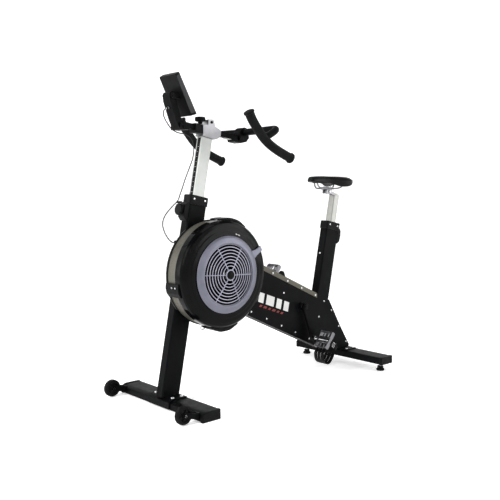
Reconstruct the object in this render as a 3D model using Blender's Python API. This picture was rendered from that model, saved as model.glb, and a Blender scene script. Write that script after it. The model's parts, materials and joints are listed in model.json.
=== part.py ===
"""Air bike: fan housing on the rider's left, steel posts, sliding aluminium masts.

Metres. X runs rearward, Y to the rider's right, Z up. The origin is at the
middle of the footprint, on the floor.
"""
import math

import bmesh
import bpy
from mathutils import Matrix, Vector

GAP = 0.0003

# Floor frame
BASE_HALF = 0.305
BAR_END = 0.2882
FRONT_BAR_X = (-0.572, -0.480)
FRONT_BAR_Z = (0.004, 0.040)
REAR_BAR_X = (0.590, 0.678)
REAR_BAR_Z = (0.041, 0.076)
FOOT_X = 0.634
FOOT_Y = 0.262
FOOT_R = 0.0205
WHEEL_X = -0.642
WHEEL_Y = 0.268
WHEEL_Z = 0.041
WHEEL_R = 0.038

# Posts: lean, centre-line at the floor, section
FRONT_LEAN = 0.1919
FRONT_X0 = -0.5351
SEAT_LEAN = 0.2035
SEAT_X0 = 0.3748
STEEL_DEPTH = 0.0930
STEEL_WIDTH = 0.0480
STEEL_WALL = 0.0025
MAST_DEPTH = 0.0590
MAST_WIDTH = 0.0380
SEAT_MAST_DEPTH = 0.0420
SEAT_MAST_WIDTH = 0.0400
MAST_WALL = 0.0025

# Frame plates
PLATE_IN = 0.0245
PLATE_OUT = 0.0275

# Fan
FAN_X = -0.322
FAN_Z = 0.568
FAN_R = 0.2350
RING_IN = 0.1345
RING_OUT = 0.1690

# Drive
CRANK_X = 0.283
CRANK_Z = 0.346
CRANK_LEN = 0.175
CRANK_TILT = math.radians(20.0)
# Angle at which the weight of its cage holds a free pedal
PEDAL_HANG = math.radians(54.0)
DRIVE_R = 0.084
JACK_X = -0.120
JACK_Z = 0.498
JACK_SMALL_R = 0.028
JACK_BIG_R = 0.075
FAN_PULLEY_R = 0.030
BLADES = 16
PEDAL_Y = 0.132

# Handlebar
RAIL_X0 = -0.300
RAIL_Z0 = 1.1959
RAIL_SLOPE = -0.140
CROSS_X = -0.095
CROSS_Z = 1.198
GRIP_Y = 0.240
GRIP_R = 0.0203

# Console
ARM_X = -0.452
ARM_Z = 1.205
TILT_X = -0.503
TILT_Z = 1.330
CONSOLE_HALF = 0.0585

# Saddle
CLAMP_X = 0.503
CLAMP_Z = 0.926

MATERIALS = {
    "black_paint": ((0.030, 0.031, 0.033), 0.2, 0.45),
    "gloss_black": ((0.020, 0.022, 0.023), 0.0, 0.18),
    "black_plastic": ((0.035, 0.036, 0.038), 0.0, 0.50),
    "olive_paint": ((0.130, 0.128, 0.105), 0.3, 0.50),
    "mesh_metal": ((0.300, 0.295, 0.260), 0.7, 0.50),
    "silver_paint": ((0.560, 0.560, 0.620), 0.5, 0.35),
    "alloy": ((0.850, 0.860, 0.860), 0.6, 0.35),
    "cast_alloy": ((0.640, 0.645, 0.650), 0.6, 0.45),
    "steel": ((0.600, 0.600, 0.590), 1.0, 0.30),
    "rubber": ((0.025, 0.025, 0.026), 0.0, 0.80),
    "foam": ((0.035, 0.035, 0.038), 0.0, 0.85),
    "vinyl": ((0.030, 0.029, 0.031), 0.0, 0.40),
    "screen": ((0.060, 0.080, 0.080), 0.0, 0.10),
}


def clear_scene():
    for obj in list(bpy.data.objects):
        bpy.data.objects.remove(obj, do_unlink=True)
    for mesh in list(bpy.data.meshes):
        bpy.data.meshes.remove(mesh)


def material(name, style):
    found = bpy.data.materials.get(name)
    if found:
        return found
    colour, metal, rough = MATERIALS[style]
    mat = bpy.data.materials.new(name)
    mat.use_nodes = True
    shader = mat.node_tree.nodes["Principled BSDF"]
    shader.inputs["Base Color"].default_value = (*colour, 1.0)
    shader.inputs["Metallic"].default_value = metal
    shader.inputs["Roughness"].default_value = rough
    mat.diffuse_color = (*colour, 1.0)
    return mat


def new_object(name, bm, style, smooth=False, origin=None):
    """Close off a bmesh as one named object with its own material."""
    bmesh.ops.recalc_face_normals(bm, faces=bm.faces[:])
    if origin is not None:
        bmesh.ops.translate(bm, verts=bm.verts[:], vec=-Vector(origin))
    mesh = bpy.data.meshes.new(name)
    bm.to_mesh(mesh)
    bm.free()
    obj = bpy.data.objects.new(name, mesh)
    bpy.context.scene.collection.objects.link(obj)
    if origin is not None:
        obj.location = origin
    mesh.materials.append(material("m_" + name, style))
    if smooth:
        mesh.shade_smooth()
    return obj


# ---- building blocks, each adds one closed solid to a bmesh ----

def add_loft(bm, loops):
    """Skin between matching loops, with a flat cap at each end."""
    rings = [[bm.verts.new(p) for p in loop] for loop in loops]
    n = len(rings[0])
    for a, b in zip(rings[:-1], rings[1:]):
        for i in range(n):
            j = (i + 1) % n
            bm.faces.new((a[i], a[j], b[j], b[i]))
    bm.faces.new(list(reversed(rings[0])))
    bm.faces.new(rings[-1])


def add_ring(bm, loops):
    """Skin between matching loops that close on themselves, as a hollow ring does."""
    rings = [[bm.verts.new(p) for p in loop] for loop in loops]
    n = len(rings[0])
    for k, a in enumerate(rings):
        b = rings[(k + 1) % len(rings)]
        for i in range(n):
            j = (i + 1) % n
            bm.faces.new((a[i], a[j], b[j], b[i]))


def add_prism_y(bm, outline, y0, y1):
    """Outline in X and Z, swept along Y."""
    add_loft(bm, [[(x, y0, z) for x, z in outline], [(x, y1, z) for x, z in outline]])


def add_prism_z(bm, outline, z0, z1):
    add_loft(bm, [[(x, y, z0) for x, y in outline], [(x, y, z1) for x, y in outline]])


def add_prism_x(bm, outline, x0, x1):
    add_loft(bm, [[(x0, y, z) for y, z in outline], [(x1, y, z) for y, z in outline]])


def add_box(bm, low, high):
    outline = [(low[0], low[2]), (high[0], low[2]), (high[0], high[2]), (low[0], high[2])]
    add_prism_y(bm, outline, low[1], high[1])


def circle(r, n, start=0.0):
    step = 2.0 * math.pi / n
    return [(r * math.cos(start + i * step), r * math.sin(start + i * step)) for i in range(n)]


def basis(axis):
    """Two directions square to an axis."""
    a = Vector(axis).normalized()
    helper = Vector((0.0, 0.0, 1.0)) if abs(a.z) < 0.9 else Vector((1.0, 0.0, 0.0))
    u = helper.cross(a).normalized()
    return a, u, a.cross(u)


def turned_loops(centre, axis, profile, n):
    """Turn a profile of (radius, height) about an axis. A closed profile makes a ring."""
    a, u, v = basis(axis)
    c = Vector(centre)
    loops = []
    for r, h in profile:
        ring = [c + a * h + u * px + v * py for px, py in circle(r, n)]
        loops.append(ring)
    return loops


def add_rod(bm, centre, axis, profile, n):
    add_loft(bm, turned_loops(centre, axis, profile, n))


def add_annulus(bm, centre, axis, profile, n):
    add_ring(bm, turned_loops(centre, axis, profile, n))


def square_ring(r0, r1, h0, h1):
    return [(r0, h0), (r1, h0), (r1, h1), (r0, h1)]


def add_tube(bm, path, r, n):
    """Round bar along a list of points."""
    pts = [Vector(p) for p in path]
    loops = []
    side = None
    for i, p in enumerate(pts):
        ahead = pts[min(i + 1, len(pts) - 1)] - pts[max(i - 1, 0)]
        a = ahead.normalized()
        if side is None:
            side = basis(a)[1]
        side = (side - a * side.dot(a)).normalized()
        other = a.cross(side)
        loops.append([p + side * px + other * py for px, py in circle(r, n)])
    add_loft(bm, loops)


def smooth_path(route, count):
    """Catmull-Rom curve through the route's points, evenly sampled by parameter."""
    pts = [Vector(p) for p in route]
    pts = [pts[0] * 2 - pts[1]] + pts + [pts[-1] * 2 - pts[-2]]
    spans = len(pts) - 3
    out = []
    for k in range(count):
        t = k * spans / (count - 1)
        s = min(int(t), spans - 1)
        f = t - s
        a, b, c, d = pts[s:s + 4]
        out.append(0.5 * ((2 * b) + (c - a) * f + (2 * a - 5 * b + 4 * c - d) * f ** 2
                          + (3 * b - a - 3 * c + d) * f ** 3))
    return out


def combine(obj, tools, operation):
    """Run one exact boolean per tool and keep the result as the object's mesh."""
    for tool in tools:
        tool.hide_render = True
        tool.display_type = "WIRE"
        mod = obj.modifiers.new("shape", "BOOLEAN")
        mod.operation = operation
        mod.solver = "EXACT"
        mod.object = tool
    graph = bpy.context.evaluated_depsgraph_get()
    graph.update()
    baked = bpy.data.meshes.new_from_object(obj.evaluated_get(graph))
    obj.modifiers.clear()
    old = obj.data
    own = old.materials[0]
    obj.data = baked
    baked.materials.clear()
    baked.materials.append(own)
    bpy.data.meshes.remove(old)
    for tool in tools:
        bpy.data.objects.remove(tool, do_unlink=True)


def cut(obj, cutters):
    combine(obj, cutters, "DIFFERENCE")


def fuse(obj, pieces):
    combine(obj, pieces, "UNION")


def piece_from(bm):
    """A helper solid, to be fused into a named object or cut from it."""
    return new_object("helper", bm, "steel")


def cutter_rod(centre, axis, r, half, n=24):
    bm = bmesh.new()
    add_rod(bm, centre, axis, [(r, -half), (r, half)], n)
    return piece_from(bm)


# ---- leaning post frame ----

def post_frame(x0, lean):
    """Base point on the floor, direction up the post, direction square to it (rearward)."""
    up = Vector((lean, 0.0, 1.0)).normalized()
    back = Vector((up.z, 0.0, -up.x))
    return Vector((x0, 0.0, 0.0)), up, back


def section(half_u, half_v, corner):
    """Rectangle with chamfered corners, as (u, v) points."""
    c = corner
    return [(-half_u, -half_v + c), (-half_u, half_v - c), (-half_u + c, half_v),
            (half_u - c, half_v), (half_u, half_v - c), (half_u, -half_v + c),
            (half_u - c, -half_v), (-half_u + c, -half_v)]


def post_loop(frame, outline, t):
    base, up, back = frame
    return [base + up * t + back * u + Vector((0.0, v, 0.0)) for u, v in outline]


def post_loop_level(frame, outline, z):
    """The same section, cut level at a height."""
    base, up, back = frame
    out = []
    for u, v in outline:
        t = (z - base.z - back.z * u) / up.z
        out.append(base + up * t + back * u + Vector((0.0, v, 0.0)))
    return out


def post_t(frame, z):
    return z / frame[1].z


FRONT = post_frame(FRONT_X0, FRONT_LEAN)
SEAT = post_frame(SEAT_X0, SEAT_LEAN)


def steel_tube(name, frame, z_low, z_top):
    outer = section(STEEL_DEPTH / 2, STEEL_WIDTH / 2, 0.005)
    inner = section(STEEL_DEPTH / 2 - STEEL_WALL, STEEL_WIDTH / 2 - STEEL_WALL, 0.0035)
    top = post_t(frame, z_top)
    bm = bmesh.new()
    add_ring(bm, [post_loop_level(frame, outer, z_low), post_loop(frame, outer, top),
                  post_loop(frame, inner, top), post_loop_level(frame, inner, z_low)])
    return new_object(name, bm, "black_paint")


# ---- floor frame ----

def bar_outline(x, z, grow, nose):
    """Base bar section. The front top corner is cut down by nose."""
    return [(x[0] - grow, z[0] - grow), (x[1] + grow, z[0] - grow),
            (x[1] + grow, z[1] + grow), (x[0] + 2.0 * nose, z[1] + grow),
            (x[0] - grow, z[1] - nose)]


def base_bar(name, x, z, nose):
    bm = bmesh.new()
    outer = bar_outline(x, z, 0.0, nose)
    inner = bar_outline(x, z, -0.0025, nose)
    add_ring(bm, [[(a, -BAR_END, b) for a, b in outer], [(a, BAR_END, b) for a, b in outer],
                  [(a, BAR_END, b) for a, b in inner], [(a, -BAR_END, b) for a, b in inner]])
    return new_object(name, bm, "black_paint")


def end_caps(end, outline):
    """Foot caps that close both ends of a base bar."""
    mid_x = sum(p[0] for p in outline) / len(outline)
    mid_z = sum(p[1] for p in outline) / len(outline)
    low = min(p[1] for p in outline)
    for side, name in ((-1.0, "left"), (1.0, "right")):
        loops = []
        for y, k in ((BAR_END + GAP, 1.0), (BASE_HALF - 0.004, 1.0), (BASE_HALF, 0.93)):
            loops.append([(mid_x + (a - mid_x) * k, side * y,
                           low if b == low else mid_z + (b - mid_z) * k) for a, b in outline])
        bm = bmesh.new()
        add_loft(bm, loops)
        new_object(end + "_cap_" + name, bm, "black_plastic")


def floor_frame():
    front = base_bar("front_base_bar", FRONT_BAR_X, FRONT_BAR_Z, 0.010)
    fuse(front, wheel_brackets())
    x0, x1 = FRONT_BAR_X
    end_caps("front", [(x0 - 0.002, 0.0), (x1 + 0.002, 0.0), (x1 + 0.002, 0.042),
                       (x0 + 0.020, 0.042), (x0 - 0.002, 0.031)])
    rear = base_bar("rear_base_bar", REAR_BAR_X, REAR_BAR_Z, 0.004)
    bm = bmesh.new()
    add_box(bm, (0.594, -0.066, 0.0750), (0.674, 0.066, 0.0810))
    fuse(rear, [piece_from(bm)])
    x0, x1 = REAR_BAR_X
    end_caps("rear", [(x0 - 0.002, 0.039), (x1 + 0.002, 0.039), (x1 + 0.002, 0.078),
                      (x0 + 0.008, 0.078), (x0 - 0.002, 0.073)])


def front_post():
    """Steel post, welded to the plate that bolts down on the front base bar."""
    post = steel_tube("front_post", FRONT, 0.0440, 0.8950)
    bm = bmesh.new()
    add_prism_y(bm, [(-0.5780, 0.006), (-0.5745, 0.006), (-0.5745, 0.0300), (-0.5535, 0.0403),
                     (-0.4810, 0.0403), (-0.4810, 0.0450), (-0.5570, 0.0450),
                     (-0.5780, 0.0350)], -0.078, 0.078)
    fuse(post, [piece_from(bm)])


def levelling_feet():
    for side, name in ((-1.0, "left"), (1.0, "right")):
        bm = bmesh.new()
        centre = (FOOT_X, side * FOOT_Y, 0.0)
        add_rod(bm, centre, (0, 0, 1), [(0.018, 0.0), (FOOT_R, 0.003), (FOOT_R, 0.013),
                                        (0.0055, 0.0170), (0.0055, 0.0405)], 20)
        new_object("levelling_foot_" + name, bm, "rubber", True, centre)


def wheel_brackets():
    """Forks in front of the base bar, each with its wheel's axle across it."""
    pieces = []
    back = FRONT_BAR_X[0] + 0.0015
    cheek = [(back, 0.0120), (back, 0.0390)] + arc(WHEEL_X, WHEEL_Z, 0.0120, 70.0, 290.0, 8)
    for side in (-1.0, 1.0):
        yc = side * WHEEL_Y
        bm = bmesh.new()
        add_box(bm, (back - 0.0060, yc - 0.0155, 0.0120), (back, yc + 0.0155, 0.0390))
        pieces.append(piece_from(bm))
        for y in (-0.0155, 0.0120):
            bm = bmesh.new()
            add_prism_y(bm, cheek, yc + y, yc + y + 0.0035)
            pieces.append(piece_from(bm))
        bm = bmesh.new()
        add_rod(bm, (WHEEL_X, yc, WHEEL_Z), (0, 1, 0), [(0.0075, -0.0190), (0.0075, -0.0150),
                                                        (0.0040, -0.0149), (0.0040, 0.0149),
                                                        (0.0075, 0.0150), (0.0075, 0.0190)], 12)
        pieces.append(piece_from(bm))
    return pieces


def transport_wheels():
    for side, name in ((-1.0, "left"), (1.0, "right")):
        centre = (WHEEL_X, side * WHEEL_Y, WHEEL_Z)
        bm = bmesh.new()
        add_annulus(bm, centre, (0, 1, 0),
                    [(0.0046, -0.0105), (0.0340, -0.0105), (WHEEL_R, -0.0070),
                     (WHEEL_R, 0.0070), (0.0340, 0.0105), (0.0046, 0.0105)], 24)
        new_object("transport_wheel_" + name, bm, "rubber", True, centre)


# ---- frame plates and covers ----

def top_line(x):
    return 0.5707 - 0.4510 * (x - 0.020)


def low_line(x):
    return 0.3460 - 0.4625 * (x + 0.088)


def plate_outline():
    return [(-0.4700, low_line(-0.4700)), (0.4839, 0.0820), (0.6560, 0.0820), (0.6600, 0.0960),
            (0.5830, 0.2110), (0.4950, 0.3560), (-0.4228, top_line(-0.4228))]


def frame_plates():
    """Side plates, with the housings of the crank's and the fan's bearings on them."""
    for side, name in ((-1.0, "left"), (1.0, "right")):
        bm = bmesh.new()
        ys = sorted((side * PLATE_IN, side * PLATE_OUT))
        add_prism_y(bm, plate_outline(), ys[0], ys[1])
        plate = new_object("frame_plate_" + name, bm, "black_paint")
        bosses = []
        for x, z, r, out in ((CRANK_X, CRANK_Z, 0.0212, 0.0360), (FAN_X, FAN_Z, 0.0175, 0.0340)):
            bm = bmesh.new()
            add_rod(bm, (x, 0, z), (0, side, 0), [(r, 0.0260), (r, out)], 24)
            bosses.append(piece_from(bm))
        fuse(plate, bosses)
        cut(plate, [cutter_rod((CRANK_X, 0, CRANK_Z), (0, 1, 0), 0.0099, 0.05, 24),
                    cutter_rod((FAN_X, 0, FAN_Z), (0, 1, 0), 0.0085, 0.05, 20),
                    cutter_rod((JACK_X, 0, JACK_Z), (0, 1, 0), 0.0064, 0.05, 16)])


def frame_covers():
    bm = bmesh.new()
    w = PLATE_OUT + GAP
    loops = []
    for x in (-0.3360, 0.3985):
        z = top_line(x)
        loops.append([(x, y, z + dz) for y, dz in (
            (-w - 0.002, 0.0025), (w + 0.002, 0.0025), (w + 0.002, -0.0225), (w, -0.0225),
            (w, 0.0004), (-w, 0.0004), (-w, -0.0225), (-w - 0.002, -0.0225))])
    add_loft(bm, loops)
    new_object("top_cap", bm, "olive_paint")
    inner = PLATE_IN - GAP
    x0 = -0.3850
    bm = bmesh.new()
    add_prism_y(bm, [(x0, low_line(x0) + 0.0015), (0.4835, 0.0837), (0.6545, 0.0837),
                     (0.6575, 0.0955), (0.5810, 0.2092), (0.4988, 0.3440), (0.4960, 0.3422),
                     (0.5782, 0.2076), (0.6540, 0.0950), (0.6520, 0.0867), (0.4845, 0.0867),
                     (x0, low_line(x0) + 0.0045)], -inner, inner)
    new_object("lower_cover", bm, "black_paint")


# ---- collars and lock knobs ----

def collar_ring(frame, t_top, reach, flange_u, flange_v, bore_u, bore_v):
    """Flange over the steel tube, with a sleeve that hangs inside it and guides the mast."""
    tube_u = STEEL_DEPTH / 2
    tube_v = STEEL_WIDTH / 2
    in_u = tube_u - STEEL_WALL - GAP
    in_v = tube_v - STEEL_WALL - GAP
    prof = [(flange_u, flange_v, -0.040, 0.006), (flange_u, flange_v, -0.003, 0.006),
            (flange_u - 0.003, flange_v - 0.003, 0.0, 0.005), (bore_u, bore_v, 0.0, 0.002),
            (bore_u, bore_v, -reach, 0.002), (in_u, in_v, -reach, 0.0035),
            (in_u, in_v, -0.0100, 0.0035), (tube_u + GAP, tube_v + GAP, -0.0100, 0.005),
            (tube_u + GAP, tube_v + GAP, -0.040, 0.005)]
    return [post_loop(frame, section(u, v, c), t_top + t) for u, v, t, c in prof]


def lock_housing(frame, z, direction):
    """Boss on a post's face that carries the clamp screw. direction is -1 front, 1 rear."""
    base, up, back = frame
    t = post_t(frame, z)
    face = direction * (STEEL_DEPTH / 2 + GAP + 0.0002)
    prof = [(0.0, -0.045), (0.006, -0.045), (0.020, -0.030), (0.023, 0.0), (0.020, 0.024),
            (0.010, 0.036), (0.0, 0.036)]
    bm = bmesh.new()
    loops = []
    for v in (-0.0215, 0.0215):
        loops.append([base + up * (t + dt) + back * (face + direction * d) + Vector((0, v, 0))
                      for d, dt in prof])
    add_loft(bm, loops)
    return piece_from(bm)


def lock_knob(name, frame, z, direction, knob_r, length):
    base, up, back = frame
    reach = direction * (STEEL_DEPTH / 2 + 0.023 + 2.0 * GAP)
    origin = base + up * post_t(frame, z) + back * reach
    bm = bmesh.new()
    add_rod(bm, origin, back * direction, [(0.010, 0.0), (knob_r, 0.003), (knob_r, length * 0.62),
                                           (knob_r * 0.80, length * 0.92),
                                           (knob_r * 0.4, length)], 18)
    new_object(name, bm, "black_plastic", True, origin)


def collar(name, frame, z, reach, mast_u, mast_v, housing):
    bm = bmesh.new()
    add_ring(bm, collar_ring(frame, post_t(frame, z), reach, 0.0505, 0.0275, mast_u / 2 + 0.0004,
                             mast_v / 2 + 0.0004))
    fuse(new_object(name, bm, "black_plastic"), [housing])


def collars():
    collar("front_collar", FRONT, 0.9060, 0.150, MAST_DEPTH, MAST_WIDTH,
           lock_housing(FRONT, 0.8350, -1.0))
    collar("seat_collar", SEAT, 0.7660, 0.120, SEAT_MAST_DEPTH, SEAT_MAST_WIDTH,
           lock_housing(SEAT, 0.7050, 1.0))
    lock_knob("front_lock_knob", FRONT, 0.8350, -1.0, 0.0265, 0.0200)
    lock_knob("seat_lock_knob", SEAT, 0.7050, 1.0, 0.0100, 0.0140)


# ---- masts ----

def grooved_section(half_u, half_v, c, slot, depth):
    return [(-half_u, -slot), (-half_u + depth, -slot), (-half_u + depth, slot), (-half_u, slot),
            (-half_u, half_v - c), (-half_u + c, half_v), (half_u - c, half_v),
            (half_u, half_v - c), (half_u, -half_v + c), (half_u - c, -half_v),
            (-half_u + c, -half_v), (-half_u, -half_v + c)]


def grooved_inner(half_u, half_v, slot, depth):
    w = MAST_WALL
    u = half_u - w
    v = half_v - w
    return [(-u, -slot - w), (-u + depth, -slot), (-u + depth, slot), (-u, slot + w),
            (-u, v - 0.001), (-u + 0.001, v), (u - 0.001, v), (u, v - 0.001),
            (u, -v + 0.001), (u - 0.001, -v), (-u + 0.001, -v), (-u, -v + 0.001)]


def front_mast():
    hu = MAST_DEPTH / 2
    hv = MAST_WIDTH / 2
    low = post_t(FRONT, 0.600)
    top = post_t(FRONT, 1.1630)
    outer = grooved_section(hu, hv, 0.003, 0.0105, 0.0020)
    inner = grooved_inner(hu, hv, 0.0105, 0.0020)
    bm = bmesh.new()
    add_ring(bm, [post_loop(FRONT, outer, low), post_loop(FRONT, outer, top),
                  post_loop(FRONT, inner, top), post_loop(FRONT, inner, low)])
    new_object("front_mast", bm, "alloy")


def seat_mast():
    hu = SEAT_MAST_DEPTH / 2
    hv = SEAT_MAST_WIDTH / 2
    low = post_t(SEAT, 0.440)
    outer = section(hu, hv, 0.0045)
    inner = section(hu - MAST_WALL, hv - MAST_WALL, 0.003)
    bm = bmesh.new()
    add_ring(bm, [post_loop(SEAT, outer, low), post_loop_level(SEAT, outer, 0.9070),
                  post_loop_level(SEAT, inner, 0.9070), post_loop(SEAT, inner, low)])
    new_object("seat_mast", bm, "alloy")


# ---- handlebar head and reach rail ----

def rail_dir():
    return Vector((1.0, 0.0, RAIL_SLOPE)).normalized()


def rail_point(x, up=0.0):
    d = rail_dir()
    z = RAIL_Z0 + RAIL_SLOPE * (x - RAIL_X0)
    return Vector((x, 0.0, z)) + Vector((-d.z, 0.0, d.x)) * up


def rail_loops(x0, x1, half_y, low, high):
    loops = []
    for x in (x0, x1):
        a = rail_point(x, low)
        b = rail_point(x, high)
        loops.append([a + Vector((0, -half_y, 0)), a + Vector((0, half_y, 0)),
                      b + Vector((0, half_y, 0)), b + Vector((0, -half_y, 0))])
    return loops


def rail_cutter():
    bm = bmesh.new()
    add_loft(bm, rail_loops(-0.450, -0.200, 0.0134, -0.0124, 0.0124))
    return piece_from(bm)


def head():
    bm = bmesh.new()
    side = post_loop(FRONT, [(-0.0300, 0.0), (0.0300, 0.0)], post_t(FRONT, 1.1630) + GAP)
    outline = [(side[0].x - 0.004, side[0].z + 0.0008), (side[1].x + 0.006, side[1].z - 0.0012),
               (-0.2620, 1.1600), (-0.2420, 1.1710), (-0.2390, 1.1960),
               (-0.2460, 1.2010), (-0.2720, 1.2140), (-0.2800, 1.2400), (-0.2880, 1.2440),
               (-0.3080, 1.2430), (-0.3120, 1.2390), (-0.3120, 1.2190), (-0.3410, 1.2190),
               (-0.3410, 1.1800)]
    add_prism_y(bm, outline, -0.0260, 0.0260)
    cast = new_object("head_casting", bm, "cast_alloy")
    cut(cast, [rail_cutter()])
    bm = bmesh.new()
    add_prism_y(bm, [(-0.3790, 1.1820), (-0.3414, 1.1805), (-0.3414, 1.2190), (-0.3790, 1.2230)],
                -0.0230, 0.0230)
    guide = new_object("rail_guide", bm, "black_plastic")
    cut(guide, [rail_cutter()])
    bm = bmesh.new()
    origin = (-0.3375, 0.0, 1.2233)
    add_rod(bm, origin, (0, 0, 1), [(0.0110, 0.0), (0.0110, 0.0040), (0.0225, 0.0060),
                                    (0.0230, 0.0180), (0.0190, 0.0270), (0.0100, 0.0300)], 16)
    new_object("reach_lock_knob", bm, "black_plastic", True, origin)


def reach_rail():
    bm = bmesh.new()
    add_loft(bm, rail_loops(-0.4220, -0.1270, 0.0130, -0.0120, 0.0120))
    new_object("reach_rail", bm, "black_paint")


def arc(cx, cz, r, a0, a1, n):
    return [(cx + r * math.cos(math.radians(a0 + (a1 - a0) * i / n)),
             cz + r * math.sin(math.radians(a0 + (a1 - a0) * i / n))) for i in range(n + 1)]


def bar_bracket():
    lip_front = rail_point(-0.1600, -0.0124)
    lip_back = rail_point(-0.1228, -0.0124)
    outline = [(-0.1600, 1.1530), (-0.1200, 1.1480), (-0.0850, 1.1550), (-0.0680, 1.1740)]
    outline += arc(CROSS_X, CROSS_Z, 0.0225, -10.0, 150.0, 8)
    outline += [(-0.1245, 1.1980), (-0.1245, lip_back.z), (lip_front.x, lip_front.z)]
    bm = bmesh.new()
    add_prism_y(bm, outline, -0.0230, 0.0230)
    bracket = new_object("bar_bracket", bm, "black_paint")
    cut(bracket, [cutter_rod((CROSS_X, 0, CROSS_Z), (0, 1, 0), 0.0162, 0.05, 20)])


def grip_route(side):
    y = side * GRIP_Y
    flat = ((-0.2620, 1.2560), (-0.2450, 1.2290), (-0.2240, 1.2030), (-0.1990, 1.1750),
            (-0.1740, 1.1520), (-0.1440, 1.1310), (-0.1080, 1.1120), (-0.0680, 1.0950),
            (-0.0200, 1.0770))
    return [(x, y, z) for x, z in flat]


def handlebar():
    for side, name in ((-1.0, "left"), (1.0, "right")):
        path = smooth_path(grip_route(side), 11)
        bm = bmesh.new()
        add_tube(bm, path, GRIP_R, 12)
        grip = new_object("grip_" + name, bm, "foam", True)
        fuse(grip, grip_ends(path))
    route = [(-0.176, -GRIP_Y, 1.156), (-0.1450, -0.2440, 1.1735), (-0.1150, -0.2430, 1.1900),
             (-0.0970, -0.2250, 1.2000), (CROSS_X, -0.180, 1.2005), (CROSS_X, 0.0, CROSS_Z)]
    half = smooth_path(route, 14)
    path = half + [Vector((p.x, -p.y, p.z)) for p in reversed(half[:-1])]
    bm = bmesh.new()
    add_tube(bm, path, 0.0155, 12)
    bar = new_object("handlebar_tube", bm, "black_paint", True)
    cutters = []
    for side in (-1.0, 1.0):
        bm = bmesh.new()
        add_tube(bm, smooth_path(grip_route(side), 11), GRIP_R + GAP * 2.0, 12)
        cutters.append(piece_from(bm))
        bm = bmesh.new()
        ys = sorted((side * 0.2, side * 0.3))
        add_box(bm, (-0.30, ys[0], 1.05), (-0.1870, ys[1], 1.30))
        cutters.append(piece_from(bm))
    cut(bar, cutters)


def grip_ends(path):
    """Flared stops at both ends of a grip."""
    pieces = []
    for tip, inner in ((path[0], path[1]), (path[-1], path[-2])):
        out = (tip - inner).normalized()
        bm = bmesh.new()
        add_rod(bm, tip - out * 0.0020, out, [(0.0215, 0.0), (0.0245, 0.004), (0.0236, 0.011),
                                              (0.0130, 0.0145)], 12)
        pieces.append(piece_from(bm))
    return pieces


# ---- console ----

def arm_outline():
    out = [(-0.4390, 1.1985), (-0.4380, 1.2080), (-0.4430, 1.2175), (-0.4575, 1.2330)]
    out += arc(TILT_X, TILT_Z, 0.0165, -18.0, 170.0, 8)
    out += [(-0.5150, 1.3050), (-0.4870, 1.2300), (-0.4710, 1.2000), (-0.4620, 1.1905),
            (-0.4500, 1.1890)]
    return out


def console_arm():
    bm = bmesh.new()
    add_prism_y(bm, arm_outline(), -0.0255, 0.0255)
    arm = new_object("console_arm", bm, "black_plastic", False, (ARM_X, 0.0, ARM_Z))
    cut(arm, [cutter_rod((ARM_X, 0, ARM_Z), (0, 1, 0), 0.0045, 0.05, 16),
              cutter_rod((TILT_X, 0, TILT_Z), (0, 1, 0), 0.0035, 0.05, 16)])
    bm = bmesh.new()
    add_rod(bm, (-0.5038, 0.0, 1.2805), (-0.94, 0.0, -0.34), [(0.0050, 0.0), (0.0050, 0.0125),
                                                              (0.0030, 0.0165)], 12)
    fuse(arm, [piece_from(bm)])


def cross_pin(x, z, r, head_r, head_in, half):
    """Headed pin that runs across, along Y."""
    bm = bmesh.new()
    add_rod(bm, (x, 0, z), (0, 1, 0), [(head_r, -half), (head_r, -head_in), (r, -head_in),
                                       (r, head_in), (head_r, head_in), (head_r, half)], 12)
    return piece_from(bm)


def clevis():
    """Fork at the front end of the rail, with the arm's pin across it."""
    bm = bmesh.new()
    x0 = -0.4244
    outline = [(x0, -0.0385), (x0, 0.0385), (-0.4680, 0.0385), (-0.4680, 0.0260),
               (-0.4345, 0.0260), (-0.4345, -0.0260), (-0.4680, -0.0260), (-0.4680, -0.0385)]
    add_prism_z(bm, outline, 1.1900, 1.2190)
    fork = new_object("rail_clevis", bm, "black_plastic")
    fuse(fork, [cross_pin(ARM_X, ARM_Z, 0.0040, 0.0080, 0.0380, 0.0430)])


CONSOLE_PTS = {"back_top": (-0.5120, 1.4130), "front_top": (-0.4930, 1.4250),
               "front_low": (-0.4005, 1.2570), "back_low": (-0.4290, 1.2478)}


def face_frame():
    """Origin at the low edge of the console's face, with along and outward directions."""
    a = Vector((CONSOLE_PTS["front_low"][0], 0.0, CONSOLE_PTS["front_low"][1]))
    b = Vector((CONSOLE_PTS["front_top"][0], 0.0, CONSOLE_PTS["front_top"][1]))
    along = (b - a).normalized()
    out = Vector((along.z, 0.0, -along.x))
    return a, along, out


def face_box(bm, s0, s1, y0, y1, d0, d1):
    a, along, out = face_frame()
    loops = []
    for d in (d0, d1):
        loops.append([a + along * s + out * d + Vector((0, y, 0))
                      for s, y in ((s0, y0), (s1, y0), (s1, y1), (s0, y1))])
    add_loft(bm, loops)


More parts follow.
